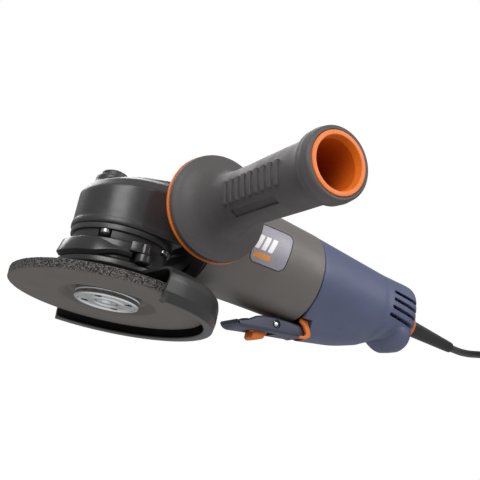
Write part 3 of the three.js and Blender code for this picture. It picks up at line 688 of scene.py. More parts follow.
def add_plug():
    body = loft([boxy_ring(*s) for s in through([
        (0, 4.1, -4.1, 4.1, 2.0), (14, 5.6, -5.6, 5.8, 2.0), (17, 8.5, -8.5, 10.5, 2.3),
        (25, 12, -12, 16.5, 2.7), (36, 13.2, -13.2, 18.2, 3.0), (48, 13.3, -13.3, 18.4, 3.2),
        (50.5, 12.4, -12.4, 17.5, 3.2)])])
    grooves = [along_x(turned([(4.2, x), (9, x), (9, x + 0.9), (4.2, x + 0.9)], 48))
               for x in (3.0, 5.6, 8.2, 10.8)]
    dents = [moved(cylinder(9, 12.2, 20, 48), 38), moved(cylinder(9, -20, -12.2, 48), 38)]
    cut(body, *grooves, *dents)
    plug = piece(body, "plug_moulding", ["plug_body"], RUBBER, BENCH @ PLUG)
    insert = box(50.8, 52.3, -14.5, 14.5, -6, 6, 0.5)
    for side in (-9.5, 9.5):
        pin = along_x(lathe([(0, 51), (2.4, 51), (2.4, 71.3, 1.8), (0, 71.3)], 32))
        join(insert, moved(pin, 0, side))
    face = piece(insert, "plug_face", ["plug_insert"], BLACK_PLASTIC,
                 BENCH @ PLUG)
    return [plug, face]


plug_pieces = add_plug()


# ---- gear head
def add_gear_head():
    def plan(radius, height, points=56):
        ring = []
        for i in range(points + 1):
            x, y = polar(radius, 90 + 180 * i / points)
            ring.append((x, y, height(x)))
        for k in range(1, 9):
            x = 28 * k / 8
            ring.append((x, -radius, height(x)))
        for k in range(8, 0, -1):
            x = 28 * k / 8
            ring.append((x, radius, height(x)))
        return ring

    def ridge(x):
        return 64.7 + 0.136 * (x + HEAD_R)

    def roof(x):
        return 74 + 0.236 * (x + 22.3)

    head = loft([
        plan(HEAD_R - 0.9, lambda x: 40.5),
        plan(HEAD_R - 0.2, lambda x: 40.9),
        plan(HEAD_R, lambda x: 41.8),
        plan(HEAD_R, lambda x: 44.2),
        plan(HEAD_R - 0.5, lambda x: 44.7),
        plan(HEAD_R - 0.5, lambda x: ridge(x) - 0.8),
        plan(HEAD_R - 0.9, lambda x: ridge(x)),
        plan(HEAD_R - 5, lambda x: ridge(x) + 5.4),
        plan(24.5, lambda x: 0.45 * (ridge(x) + 5.4) + 0.55 * roof(x)),
        plan(22.3, lambda x: roof(x) - 0.2),
        plan(20.5, roof),
    ])
    flare = loft([boxy_ring(*s, points=96) for s in through([
        (10, 79, 46, 27, 2.6), (14, 83, 46, 29, 2.6), (18, 87.5, 44, 31, 2.6), (23, 92, 42.5, 33, 2.5),
        (32, 95.5, 41, 34.8, 2.4), (38, 96.4, 35.5, 35, 2.2), (44, 96.6, 32, 35, 2.1),
        (50, 96.7, 26.9, 34.9, 2)], 4)])
    boss = lathe([(0, -41), (13.5, -41, 0.8), (13.5, 46.7, 0.8), (0, 46.7)], 96)
    across(boss, HANDLE_X, HANDLE_Z)
    seat = moved(lathe([(0, 60), (12.4, 60), (11.4, 77.6, 1.5), (0, 77.6)], 64), BUTTON_X)
    shell = join(head, flare, boss, seat)
    melt(shell, 0.75, 5)
    trims = [
        cylinder(27.5, 30, 60.5, 96),
        common(cylinder(60, 30, 40.5, 96), box(-80, 38, -80, 80, 20, 50)),
        cylinder(8.1, 59, 65.8, 48),
        on_motor(cylinder(11.5, 13, 33, 48)),
        on_motor(cylinder(16.4, 31, 44, 64)),
        on_motor(cylinder(30.5, 42.4, 60, 96)),
        box(50, 60, -50, 50, 0, 120),
        across(cylinder(4.4, 32, 50, 48), HANDLE_X, HANDLE_Z),
        across(cylinder(4.4, -45, -33.5, 48), HANDLE_X, HANDLE_Z),
        moved(cylinder(9, 67.2, 90, 64), BUTTON_X),
        moved(cylinder(2.8, 58, 68, 32), BUTTON_X),
    ]
    cut(shell, *trims)
    piece(shell, "head_casting", ["gear_housing"], CAST, sharp=40)

    cover = turned(rounded([
        (16.2, 40.2), (16.2, 30.7), (9.2, 30.7), (9.2, 17), (28, 17, 0.6), (28, 31.6), (30.2, 31.6, 0.8),
        (30.6, 36.8), (32.4, 36.8, 0.6), (32.4, 40.2)]), 160)
    screw_angles = (-133, -47, 47, 133)
    for angle in screw_angles:
        x, y = polar(29.9, angle)
        cut(cover, moved(cylinder(4.2, 31, 36.8, 40), x, y))
        x, y = polar(29.3, angle)
        cut(cover, moved(cylinder(2.2, 30, 41, 24), x, y))
    piece(cover, "bearing_cap", ["bearing_cover"], CAST)
    for i, angle in enumerate(screw_angles):
        screw = lathe([(0, 33.4), (2.2, 33.4, 0.3), (3.3, 34.5, 0.5), (3.3, 36.5), (1.8, 36.5), (1.8, 40),
                       (0, 40)], 40)
        cross_cut(screw, 1.9, 33, 35)
        x, y = polar(29.3, angle)
        piece(moved(spun(screw, angle + 20, "Z"), x, y), "cap_screw_%d" % (i + 1),
              ["cover_screw_%d" % (i + 1)], HEAD_STEEL)

    # The pin's key stops just above the crown gear's teeth when the button is pressed.
    button = lathe([(0, 60.6), (1.8, 60.6, 0.3), (1.8, 66), (2.4, 66.6), (2.4, 71.4), (8.6, 71.4),
                    (8.6, 80.6, 1.4), (6.6, 81.9, 1.0), (6, 81.5, 0.8), (0, 81.1)], 96)
    join(button, box(-2.6, 0, -0.4, 0.4, 60.8, 65))
    piece(moved(button, BUTTON_X), "lock_button", ["spindle_lock_button"],
          BLACK_PLASTIC, body="lock_button")


add_gear_head()


# ---- spindle, nut and disc
def add_spindle():
    threads = []
    z = 0.6
    while z < 15.6:
        threads += [(6.9, z), (6.35, z + 0.5), (6.35, z + 0.7), (6.9, z + 1.2)]
        z += 2.0
    shaft = turned([(0, 1.6), (2.6, 1.2), (3.4, 0.1), (3.8, -0.2), (6.5, -0.2), (6.9, 0.2), *threads,
                    (6.9, 16.5), (8.6, 16.5), (8.6, 30.4), (6, 30.4), (6, 59.4), (4.5, 59.4),
                    (4.5, 65.2), (0, 65.2)], 96)
    piece(shaft, "spindle_shaft", ["spindle"], TURNED_STEEL, body="spindle")

    flange = turned(rounded([(7.2, 8.7), (10.9, 8.7, 0.3), (10.9, 11.3), (20.5, 11.3, 0.3), (20.5, 13, 0.4),
                             (10, 16.2, 0.5), (7.2, 16.2)]), 96)
    cut(flange, box(-21, 21, 8.8, 12, 12.2, 18), box(-21, 21, -12, -8.8, 12.2, 18))
    piece(flange, "backing_flange", ["inner_flange"], CORE, body="spindle")

    nut = turned(rounded([
        (7.3, -0.6), (8.0, -1.4, 0.3), (11.2, -1.4, 0.3), (11.6, -0.9, 0.2), (17.7, -0.7, 0.2),
        (18.3, -1.4, 0.3), (19.9, -1.4, 0.5), (20.7, -0.6, 0.4), (20.7, 0.5, 0.2), (20.1, 1.0, 0.2),
        (20.1, 2.0, 0.2), (20.7, 2.5, 0.2), (20.7, 4.1, 0.3), (20.3, 4.5, 0.2),
        (10.9, 4.5), (10.9, 8.4, 0.3), (7.3, 8.4)]), 144)
    for angle in (45, 135, 225, 315):
        x, y = polar(14.8, angle)
        cut(nut, moved(cylinder(2.4, -2, 2.6, 36), x, y))
    piece(nut, "clamp_nut", ["flange_nut"], TURNED_STEEL, body="spindle")

    # The disc has a smooth face and a rim whose grains stand open.
    sunk = 11.0
    profile = rounded([(11.2, 4.8), (26, 4.8, 2), (31, 0.6, 2.5), (33.5, 0, 1)], closed=False)
    profile += [(40, 0), (47, 0), (54, 0), (58, 0), (60.4, 0), (61.2, 0), (61.8, 0.05), (62.3, 0.25)]
    profile += [(62.5, 0.5 + 5.5 * k / 14) for k in range(15)]
    profile += [(62.3, 6.35), (61.8, 6.47), (61.2, 6.5), (60.4, 6.5), (58, 6.5), (50, 6.5), (42, 6.5)]
    profile += rounded([(34.5, 6.5), (31, 7.2, 2), (26.5, sunk, 2), (11.2, sunk)], closed=False)[1:]
    disc = turned(profile, 640, closed=True)
    for vertex in disc.data.vertices:
        co = vertex.co
        reach = math.hypot(co.x, co.y)
        if reach < 60.3:
            continue
        bite = 0.5 + 0.5 * noise.noise(co * 0.9)
        grit = 0.5 + 0.5 * noise.noise(co * 1.9 + Vector((31, 7, 3)))
        depth = (0.55 * bite + 0.45 * grit) * smooth((reach - 60.3) / 1.6)
        scale = (reach - depth * 0.9) / reach
        co.x *= scale
        co.y *= scale
        if co.z < 0.4:
            co.z += 0.45 * depth * smooth((reach - 61) / 1.2)
        elif co.z > 6.1:
            co.z -= 0.45 * depth * smooth((reach - 61) / 1.2)
    piece(disc, "abrasive_disc", ["grinding_disc"], STONE, body="spindle", sharp=50)


add_spindle()


# ---- guard and its clamp
GUARD_FROM = -83
GUARD_TO = 95


def add_guard():
    wall = rounded([
        (33, 16.4), (61, 16.4, 3), (65.6, 15.2, 4), (68.6, 12, 4), (69.6, 8, 6), (69.6, 0, 0.5),
        (68.7, -5, 1.2), (68.4, -6.3, 0.6), (64, -6.3, 0.7), (62.6, -5.6, 0.4), (62.6, -4.7, 0.4),
        (66.2, -4.4, 1.2), (67.4, -2.4, 1.5), (67.9, 0.4, 1), (67.9, 8, 4), (67, 11, 3), (64.6, 13.6, 3),
        (60.6, 14.7, 3), (33, 14.7)], steps=6)
    half = turned(wall, 200, arc=(GUARD_FROM - 6, GUARD_TO))
    # The near end is cut on a slant that reaches forwards as it goes down, with its tip cut off.
    x, y = polar(69.6, GUARD_FROM - 1)
    end = plate(rounded([(-60, 30), (0, 30), (0, 14.7, 3), (-3.6, -3.3, 1.2), (0, -6.2), (1, -12),
                         (-60, -12)]), -30, 50)
    spun(end, GUARD_FROM - 1 + 90, "Z")
    cut(half, moved(end, x, y))
    collar = turned(rounded([(28.3, 14.7), (36.6, 14.7, 0.5), (36.6, 18.4, 0.8), (31.2, 18.4, 1.2),
                             (31.2, 31.2, 0.5), (28.3, 31.2, 0.4)]), 144)
    join(half, collar)
    piece(half, "wheel_guard", ["guard"], GUARD, body="guard", sharp=40)

    bx, by = polar(38, -89)
    hole = moved(cylinder(2.3, 10, 40, 32), bx, by)
    band = turned(rounded([(31.5, 19, 0.3), (33.9, 19, 0.8), (33.9, 31, 0.8), (31.5, 31, 0.3)]), 144)
    cut(band, plate([(0, 0), polar(60, -100), polar(60, -92)], 10, 40, "xy"))
    lug = plate(rounded([(*polar(33, -92), 0.6), (*polar(41.6, -91), 1), (*polar(41, -84), 2),
                         (*polar(33, -80), 0.6)]), 19, 24.2, "xy", 0.5)
    eye = moved(lathe([(0, 19), (4.8, 19, 0.6), (4.8, 24.2, 0.6), (0, 24.2)], 48), bx, by)
    join(band, lug, eye)
    cut(band, copy_of(hole))
    piece(band, "clamp_band", ["guard_clamp_band"], BLACK_STEEL, body="guard")
    pin = lathe([(0, 18.8), (2, 18.8, 0.4), (2, 31.3, 0.5), (0, 31.3)], 32)
    piece(moved(pin, bx, by), "clamp_pin", ["guard_lever_pin"], BLACK_STEEL,
          body="guard")

    # The lever is a bow with a broad sloping facet above and a hooked lip below.
    def bow(angle):
        begin = math.sqrt(max(0.0, 1 - (1 - min(1.0, (angle - 171.8) / 9)) ** 2))
        point = smooth((angle - 222) / 26)
        low = 18.9 + 2.6 * point + 2.4 * (1 - begin)
        high = 29.9 - 3.4 * point - 3.0 * (1 - begin)
        out = 36.0 + 3.6 * begin - 1.4 * point
        crest = low + 1.4 + 0.9 * point
        section = rounded([(34.4, low, 0.3), (36.9, low - 0.9 * begin * (1 - point), 0.5), (out, crest, 0.5),
                           (36.8, high - 0.6, 0.6), (34.4, high, 0.3)], steps=4)
        return [(r * math.cos(rad(angle)), r * math.sin(rad(angle)), z) for r, z in section]

    arm = loft([bow(172 + 88 * k / 72) for k in range(73)])
    knuckle = moved(lathe([(0, 24.5), (3.8, 24.5, 0.5), (3.8, 30.8, 0.6), (0, 30.8)], 48), bx, by)
    root = plate(rounded([(*polar(34.6, -103), 0.5), (*polar(39.4, -103), 0.5), (*polar(42.2, -91), 2),
                          (*polar(35, -92), 0.8)]), 24.5, 30.8, "xy", 0.5)
    join(arm, root, knuckle)
    cut(arm, hole)
    piece(arm, "clamp_lever", ["guard_lever"], GLOSS_BLACK, body="guard_lever")


add_guard()


# ---- side handle
# The handle is drawn upright, its own Z running outwards along -Y.
HANDLE_SPACE = TO_WORLD @ Matrix.Translation((HANDLE_X, 0, HANDLE_Z)) @ Matrix.Rotation(rad(90), 4, "X")
SLOT_AT = 239
RIBS_AT = 193


def add_side_handle():
    mouth = HANDLE_END - 4.5
    neck = through([(54.6, 31.4), (56, 28.4), (58, 25.6), (61, 22.9), (65, 20.7), (71, 18.6), (80, 17.4),
                    (95, 17.3), (110, 17.5), (130, 17.8), (150, 18.1), (156.2, 19.3)], 6)
    grip = turned(rounded([
        (4.3, 49.5), (32.4, 49.5, 0.5), (34.1, 50.8, 0.8), (33.5, 53.6, 1.0), (32.2, 53.9)], closed=False)
        + [(r, z) for z, r in neck]
        + rounded([(19.3, 156.2), (20.5, 157.2, 0.8), (20.6, 159.0, 0.4), (20.35, 159.3), (20.6, 159.6, 0.3),
                   (20.8, 162, 2), (20.2, 166.6, 0.9), (19.2, 167.5, 0.5), (17.8, 167.5, 0.2), (17.8, mouth),
                   (15.8, mouth), (15.8, 60), (4.3, 60)], closed=False)[1:], 144)
    # A sunk slot below and a row of raised ribs beside it, on the side that faces the nose.
    cut(grip, spun(box(15.9, 30, -2.6, 2.6, 87, 130), SLOT_AT, "Z"))
    for k in range(9):
        middle = 86 + 6.4 * k
        rib = box(10, 18.0 + 0.005 * (middle - 86), -6.8, 6.8, middle - 1.6, middle + 1.6, 0.4)
        join(grip, spun(rib, RIBS_AT, "Z"))
    cut(grip, cylinder(15.8, 60, 200, 96))
    piece(grip, "soft_grip", ["handle_grip"], GRIP, HANDLE_SPACE)

    insert = turned(rounded([
        (0, 60.3), (15.5, 60.3), (15.5, mouth + 0.3), (17.5, mouth + 0.3, 0.2), (17.5, 168, 0.5),
        (14.9, 168, 0.5), (13.9, 163.5, 1.5), (13.4, 66, 1.5), (0, 66)], closed=False, steps=6), 128)
    # The bore's inner faces take the darker orange as painted shade, where the depth of the bore keeps the
    # light out.
    piece(insert, "handle_sleeve", ["handle_insert"], ORANGE, HANDLE_SPACE,
          second=BORE_SHADE_ORANGE, where=lambda at: math.hypot(at.x, at.y) < 14.2 and at.z < 164.5)
    ring = turned(rounded([(14, 47.2, 0.3), (34.2, 47.2, 0.7), (34.4, 48.2), (34.2, 49.2, 0.6), (14, 49.2)]),
                  160)
    piece(ring, "handle_washer", ["handle_ring"], ORANGE, HANDLE_SPACE)


add_side_handle()


# ---- motor housing
MOTOR_SECTIONS = [(50.3, 34.9, 61.8), (95, 34.7, 61.7), (125, 33.9, 60.4), (137.7, 33.6, 59.7)]


def motor_skin(offset, first=None, last=None, points=160):
    rings = []
    for x, radius, centre in through(MOTOR_SECTIONS, 14):
        rings.append([(x, (radius + offset) * math.sin(2 * math.pi * i / points),
                       centre + (radius + offset) * math.cos(2 * math.pi * i / points))
                      for i in range(points)])
    if first is not None:
        rings.insert(0, [(first, y, z) for x, y, z in rings[0]])
    if last is not None:
        rings.append([(last, y, z) for x, y, z in rings[-1]])
    return loft(rings)


def label_outline(grow=0.0):
    x0, x1, z0, z1 = 76 - grow, 103.2 + grow, 48.5 - grow, 75.3 + grow
    corner = 4 + grow
    outline = rounded([(x0, z0, corner), (x1, z0, corner), (x1, z1, corner), (x0, z1, corner)], steps=8)
    return [(u + 0.17 * (v - z0) * (u - x0) / (x1 - x0), v) for u, v in outline]


def slanted(x0, x1, z0, z1, lean=0.35, corner=0.6):
    shift = lean * (z1 - z0)
    return rounded([(x0, z0, corner), (x1, z0, corner), (x1 + shift, z1, corner), (x0 + shift, z1, corner)])


def add_motor_housing():
    barrel = motor_skin(0, last=138.1)
    rim = cut(box(137.0, 150, -60, 60, 0, 120), motor_skin(-1.4, 45, 160))
    cut(barrel, rim)
    for side in (-1, 1):
        pocket = common(plate(label_outline(0.8), *sorted((15 * side, 50 * side))),
                        cut(motor_skin(4, 45, 145), motor_skin(-0.6, 44, 146)))
        cut(barrel, pocket)
    cut(barrel, motor_skin(-2.7, 49, 140))
    spider = join(
        on_motor(cylinder(14.5, 129, 136.8, 64)),
        box(130, 136, -40, 40, MOTOR_Z - 4, MOTOR_Z + 4),
        box(130, 136, -4, 4, 20, 110),
    )
    common(spider, motor_skin(-1))
    join(barrel, spider)
    cut(barrel, on_motor(cylinder(11.3, 128, 138, 64)))
    # The barrel's end faces past x 137 take black plastic as painted shade in the seam gap next to the rear
    # housing.
    piece(barrel, "motor_barrel", ["motor_housing"], GREY, sharp=35,
          second=BLACK_PLASTIC, where=lambda at: at.x > 136.98)

    for name, side in (("label_left", -1), ("label_right", 1)):
        def film(outline, low, high):
            return common(plate(outline, *sorted((15 * side, 50 * side))),
                          cut(motor_skin(high, 45, 145), motor_skin(low, 44, 146)))

        panel = name.replace("label", "panel")
        mark = name.replace("label", "panel_mark")
        bar = name.replace("label", "panel_bar")
        piece(film(label_outline(0), -0.5, 0.2), panel, [name], LABEL, sharp=30)
        bars = [film(slanted(76.8 + 5.4 * k, 80.6 + 5.4 * k, 57.2, 67.2), 0.18, 0.3) for k in range(3)]
        piece(join(*bars), mark, [], LABEL_WHITE, sharp=30)
        low_bar = film(slanted(77.1, 90.6, 51.3, 55.2, 0.3), 0.18, 0.3)
        piece(low_bar, bar, [], LABEL_ORANGE, sharp=30)


add_motor_housing()


# ---- rear housing
REAR_SECTIONS = [
    (138, 93.1, 33.4, 15.5, 16), (144, 92.5, 32.9, 15.3, 16), (160, 90.9, 31.5, 17.8, 16),
    (180, 88.9, 29.8, 21.2, 15.3), (200, 86.9, 28.3, 27.2, 15),
]
TAIL_SECTIONS = [
    (208, 86.1, 58.4, 27.7, 31.2, 2), (214, 85.6, 58.2, 27, 34.6, 2.1), (220, 85, 58, 26, 38.2, 2.25),
    (227, 84.3, 58, 24.8, 41, 2.5), (233, 83.5, 58, 23, 43, 2.8), (237, 82.4, 58, 21, 44, 3),
    (239.5, 80.8, 58, 19, 44.8, 3), (241.3, 78.6, 58, 17, 45.6, 3), (242.5, 76, 58, 15.2, 46.4, 3),
    (243, 74, 58, 14, 47, 3),
]
FOOT_SECTIONS = [
    (218.5, 56, 40, 17, 2.2), (222, 56, 36.4, 21, 2.2), (226, 56, 33, 22, 2.2), (231.5, 56, 29.6, 21, 2.2),
    (236, 56, 30.6, 18.5, 2.2), (238.8, 56, 32.4, 16.5, 2.2), (241.2, 56, 38, 14, 2.2),
    (242.9, 56, 45, 12.5, 2.2),
]


def tail_ring(section, inset=0.0, points=120):
    """Section of the tail: half wide at the height middle, squarer with a larger power."""
    x, top, middle, half, bottom, power = section
    ring = []
    for i in range(points):
        angle = rad(-115 + 360 * i / points)
        s, c = math.sin(angle), math.cos(angle)
        reach = top - middle if c > 0 else middle - bottom
        ring.append((x, (half - inset) * math.copysign(abs(s) ** (2 / power), s),
                     middle + (reach - inset) * math.copysign(abs(c) ** (2 / power), c)))
    return ring


def pear_ring(section, inset=0.0, points=120):
    """Large round top that runs into a smaller round bottom."""
    x, top, wide, bottom, narrow = section
    high_z, low_z = top - wide, bottom + narrow
    spread_z = max(high_z - low_z, 1e-3)
    turn = math.asin(min(0.93, max(-1, (wide - narrow) / spread_z)))
    contact = math.pi / 2 + turn
    upper = round(points * 0.64)
    ring = []
    for radius, centre, first, last, count in (
        (wide - inset, high_z, -contact, contact, upper),
        (narrow - inset, low_z, contact + 0.02, 2 * math.pi - contact - 0.02, points - upper),
    ):
        for i in range(count):
            angle = first + (last - first) * i / (count - 1)
            ring.append((x, radius * math.sin(angle), centre + radius * math.cos(angle)))
    return ring


def add_rear_housing():
    def rings(inset, last):
        front = through(REAR_SECTIONS, 5)
        back = through([s for s in TAIL_SECTIONS if s[0] < last], 5)
        return [pear_ring(s, inset) for s in front] + [tail_ring(s, inset) for s in back]

    skin = loft(rings(0, 300))
    inside = rings(2.7, 234)
    inside[0] = [(x - 1, y, z) for x, y, z in inside[0]]
    bench = box(-200, 200, -60, 60, -60, 0)
    spun(bench, math.degrees(-LEAN), "Y")
    moved(bench, 68.4, 0, -6.3)
    mouth = plate([(130, 28.7), (145.4, 28.7), (149.4, 19.5), (148.9, 16.8), (148, 10), (130, 10)],
                  -40, 40)
    join(skin, loft([boxy_ring(*s) for s in through(FOOT_SECTIONS, 5)]))
    cut(skin, bench)
    melt(skin, 0.7, 10)
    cut(skin, mouth)
    outside = copy_of(skin)
    slots = []
    for k in range(4):
        slot = spun(box(0, 44, -40, 40, -1.4, 1.4, 1.35), math.degrees(0.06), "Y")
        cut(slot, box(-10, 60, -14 + 1.2 * k, 14 - 1.2 * k, -30, 30))
        slots.append(moved(slot, 210.2 - k, 0, 69.6 - 6.1 * k))
    tail = moved(along_x(cylinder(8, -5, 12, 64)), 235, 0, 56.8)
    cut(skin, loft(inside), box(130, 138.3, -60, 60, 0, 120), *slots, tail)
    bosses = ((156, 76, 26.2), (186, 36, 14.2), (205, 73, 23.0), (203, 45, 22.4))
    for side, way in (("left", -1), ("right", 1)):
        shell = copy_of(skin)
        half = box(100, 300, -60, -0.06, 0, 120) if way < 0 else box(100, 300, 0.06, 60, 0, 120)
        common(shell, half)
        for x, z, depth in bosses:
            def to_side(obj):
                return moved(spun(obj, -90 * way, "X"), x, 0, z)
            post = to_side(cylinder(4.6, 0.15, depth - 0.4, 40))
            join(shell, common(post, copy_of(outside)))
            if way < 0:
                cut(shell, to_side(cylinder(2, -1, 12, 24)))
            else:
                seat = depth - 3
                cut(shell, to_side(turned([(0, -1), (2, -1), (2, seat), (3.6, seat), (3.6, depth + 9),
                                           (0, depth + 9)], 40)))
        piece(shell, "rear_shell_" + side, ["rear_housing_" + side], BLUE,
              sharp=35)
    drop(skin)
    drop(outside)
    for i, (x, z, depth) in enumerate(bosses):
        low = depth - 2.7
        screw = lathe([(0, -8), (1.6, -8), (1.6, low), (3.2, low), (3.2, low + 2.4, 0.8), (0, low + 2.4)],
                      40)
        cross_cut(screw, 2, low + 1, low + 4)
        piece(moved(spun(screw, -90, "X"), x, 0, z), "housing_screw_%d" % (i + 1),
              ["shell_screw_%d" % (i + 1)], BLACK_STEEL)

    # The frame's near leg has a foot under the paddle.
    leg_outline = rounded([
        (138.4, 28.4, 0.4), (145, 28.4, 0.6), (149, 19.5, 2), (148.4, 17.2, 1), (146, 15.6, 1.5),
        (140, 14.4, 0.6), (140, 16.5, 0.5), (144.2, 17.4, 1), (145.2, 19.2, 1), (142, 23.8, 3),
        (138.4, 26.2, 0.5)])
    orange = triangulated(plate(leg_outline, -13.8, -11.4, edge=0.5))
    far_outline = rounded([
        (138.4, 28.4, 0.4), (145, 28.4, 0.6), (149, 19.5, 2), (148.4, 17.2, 0.6), (146.4, 17.2, 0.6),
        (145.2, 19.2, 1), (142, 23.8, 3), (138.4, 26.2, 0.5)])
    far_leg = triangulated(plate(far_outline, 11.4, 13.8, edge=0.5))
    wall = plate([(147.1, 16.8), (148, 17.4), (148.5, 19.4), (148.3, 20.1), (147.1, 20.1)], -11.6, 11.6)
    join(orange, far_leg, wall)
    piece(orange, "paddle_surround", ["paddle_frame"], ORANGE)


add_rear_housing()


# ---- paddle and lock-off lever
def add_paddle():
    outline = rounded([
        (88.8, 13.6, 0.5), (89.6, 11.4, 1.5), (91.8, 10, 1.5), (94.5, 9.5, 3), (104.3, 11.1, 8),
        (142.1, 16.3, 6), (146.7, 17, 0.8), (146.7, 21, 2), (145.8, 24.6, 0.8), (131, 24.4, 8),
        (118, 23.7, 8), (108.8, 22.3, 4), (104.6, 20.9, 3), (97.4, 16.3, 4), (92, 14.6, 4),
        (89, 14.1, 0.4)])
    blade = plate(outline, -11, 11, edge=1.6, steps=5)
    pocket = plate(rounded([(99, 14.3, 1), (109, 14.1, 2), (137.5, 18, 1), (144.6, 19, 1), (144.6, 30),
                            (99, 30)]), -9, 9)
    cut(blade, pocket)
    arms = plate(rounded([
        (146, 20.6), (151, 21.9, 2), (160, 23.8, 3), (168, 25, 3), (174, 25, 1.5), (175.6, 27, 1.2),
        (175.6, 29.6, 1.2), (174, 31.4, 1.5), (169, 31.4, 3), (160, 28.6, 3), (150, 24.8, 3),
        (146, 24.2)]), -5.6, 5.6)
    join(blade, arms)
    cut(blade, box(104, 126, -5.6, 5.6, 5, 30),
        across(cylinder(2.3, -20, 20, 32), *PADDLE_PIVOT),
        across(cylinder(2.3, -20, 20, 32), *LOCK_PIVOT),
        across(cylinder(3.2, -20, -10, 40), *LOCK_PIVOT),
        across(cylinder(3.2, 10, 20, 40), *LOCK_PIVOT))
    piece(blade, "switch_paddle", ["paddle"], DARK_BLUE, body="paddle", sharp=35)

    thumb = plate(rounded([
        (124.6, 18, 1.5), (124.9, 20.6, 1.2), (123.4, 22, 1), (120.6, 22.6, 1), (118, 21.6, 1.5),
        (116.4, 18.9, 3), (112.4, 16.6, 4), (108.6, 14.2, 2), (107, 10.6, 2), (106.8, 6.8, 0.6),
        (108.8, 5.6, 0.8), (112.4, 6.6, 2), (116, 8.2, 1.5), (118.2, 12.6, 3), (120.2, 15.8, 3)]),
        -5.3, 5.3, edge=0.6)
    cut(thumb, across(cylinder(2.3, -20, 20, 32), *LOCK_PIVOT))
    piece(thumb, "lock_off_thumb", ["lock_off_lever"], ORANGE, body="lock_off")
    pin = lathe([(0, -10.6), (1.9, -10.6, 0.7), (1.9, 10.6, 0.7), (0, 10.6)], 40)
    piece(across(pin, *LOCK_PIVOT), "lock_off_pivot", ["lock_off_pin"], HEAD_STEEL,
          body="paddle")


add_paddle()


# ---- strain relief
def add_strain_relief():
    sections = through([
        (-13.6, 9, 2.0), (-11.8, 9, 2.0), (-11.4, 6.8, 2.0), (0.8, 6.7, 2.2), (3.8, 6.5, 3.4),
        (20, 5.75, 3.8), (40, 4.8, 3.8), (52, 4.25, 3.4), (54.4, 4.0, 2.6), (55, 3.6, 2.3)], 5)
    sleeve = loft([boxy_ring(x, half, -half, half, power) for x, half, power in sections])
    place = (TO_WORLD @ Matrix.Translation((243.4, 0, 56.4)) @ Matrix.Rotation(rad(4.4), 4, "Y")
             @ Matrix.Rotation(rad(18), 4, "X"))
    piece(sleeve, "relief_sleeve", ["strain_relief"], RUBBER, place, sharp=30)
    collar = along_x(turned(rounded([(7.4, 0.8), (9.4, 0.8, 0.5), (9.4, 6.8, 0.9), (7.4, 6.8, 0.4)]), 64))
    piece(collar, "relief_collar_ring", ["relief_collar"], ORANGE, place)


add_strain_relief()

# ---- hidden pieces
HIDDEN = {
    "bright_steel": HEAD_STEEL, "brass": BRASS, "black_plastic": BLACK_PLASTIC, "core_steel": CORE,
    "copper": COPPER, "carbon": CARBON, "orange_plastic": ORANGE, "black_steel": BLACK_STEEL,
}
for row in frame["record"]["subparts"]:
    inner = frame["nodes"][row["node"]]
    finish = HIDDEN.get(row["material_slot"])
    if finish is not None:
        inner.data.materials.clear()
        inner.data.materials.append(finish)


# ---- floor, light and background
def add_floor():
    mesh = bpy.data.meshes.new("floor")
    size = 6.0
    mesh.from_pydata([(-size, -size, 0), (size, -size, 0), (size, size, 0), (-size, size, 0)], [],
                     [(0, 1, 2, 3)])
    floor = bpy.data.objects.new("floor", mesh)
    bpy.context.scene.collection.objects.link(floor)
    material, tree, shader = new_material("floor")
    shader.inputs["Base Color"].default_value = (0.86, 0.86, 0.86, 1)
    shader.inputs["Roughness"].default_value = 0.6
    facing = node(tree, "ShaderNodeNewGeometry")
    clear = node(tree, "ShaderNodeBsdfTransparent")
    either = node(tree, "ShaderNodeMixShader")
    link(facing.outputs["Backfacing"], either.inputs[0])
    link(shader.outputs[0], either.inputs[1])
    link(clear.outputs[0], either.inputs[2])
    link(either.outputs[0], tree.nodes["Material Output"].inputs["Surface"])
    mesh.materials.append(material)
    floor.visible_shadow = False
    floor.visible_diffuse = False
    floor.visible_glossy = False
    floor.visible_transmission = False


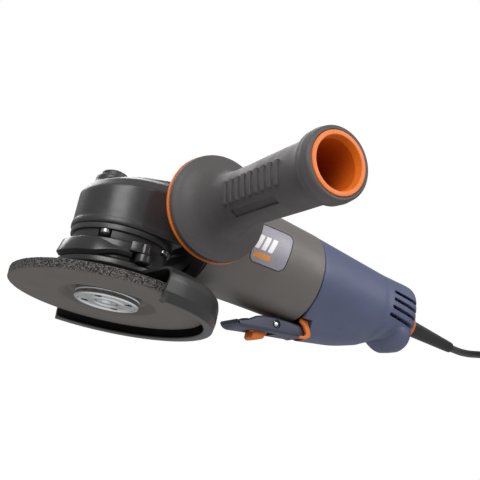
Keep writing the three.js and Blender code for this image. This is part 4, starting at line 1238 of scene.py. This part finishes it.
def add_softbox(name, at, to, size, power):
    data = bpy.data.lights.new(name, "AREA")
    data.shape = "RECTANGLE"
    data.size, data.size_y = size
    data.energy = power
    light = bpy.data.objects.new(name, data)
    light.location = at
    light.rotation_mode = "QUATERNION"
    light.rotation_quaternion = (Vector(to) - Vector(at)).to_track_quat("-Z", "Y")
    bpy.context.scene.collection.objects.link(light)


# Brightness of the surroundings from straight below, 0, to straight above, 1.
WORLD_LEVELS = [(0, 1), (0.2, 0.66), (0.36, 0.28), (0.5, 0.36), (0.75, 0.36), (1, 0.5)]


def add_world():
    world = bpy.data.worlds.new("studio")
    bpy.context.scene.world = world
    world.use_nodes = True
    tree = world.node_tree
    tree.nodes.clear()
    ray = node(tree, "ShaderNodeLightPath")
    place = node(tree, "ShaderNodeTexCoord")
    split = node(tree, "ShaderNodeSeparateXYZ")
    link(place.outputs["Generated"], split.inputs[0])
    ramp = node(tree, "ShaderNodeValToRGB")
    stops = ramp.color_ramp.elements
    for at, grey in WORLD_LEVELS[:-1]:
        stop = stops[0] if at == 0 else stops.new(at)
        stop.position = at
        stop.color = (grey, grey, grey, 1)
    stops[-1].position, top = WORLD_LEVELS[-1]
    stops[-1].color = (top, top, top, 1)
    link(spread(split.outputs["Z"], -1.0, 1.0), ramp.inputs[0])
    lit = node(tree, "ShaderNodeBackground")
    link(ramp.outputs["Color"], lit.inputs["Color"])
    seen = node(tree, "ShaderNodeBackground", Color=(1, 1, 1, 1), Strength=1.0)
    either = node(tree, "ShaderNodeMixShader")
    link(ray.outputs["Is Camera Ray"], either.inputs[0])
    link(lit.outputs[0], either.inputs[1])
    link(seen.outputs[0], either.inputs[2])
    out = node(tree, "ShaderNodeOutputWorld")
    link(either.outputs[0], out.inputs["Surface"])


add_floor()
add_world()
add_softbox("key", (-0.75, -0.75, 0.75), (-0.05, 0.0, 0.05), (0.7, 0.9), 13)
add_softbox("fill", (0.7, -0.9, 0.55), (0.05, 0.0, 0.05), (0.8, 0.8), 8.5)
add_softbox("rim", (0.1, 0.9, 0.8), (0.0, 0.0, 0.05), (1.2, 0.5), 8)
bpy.context.scene.view_settings.view_transform = "Standard"
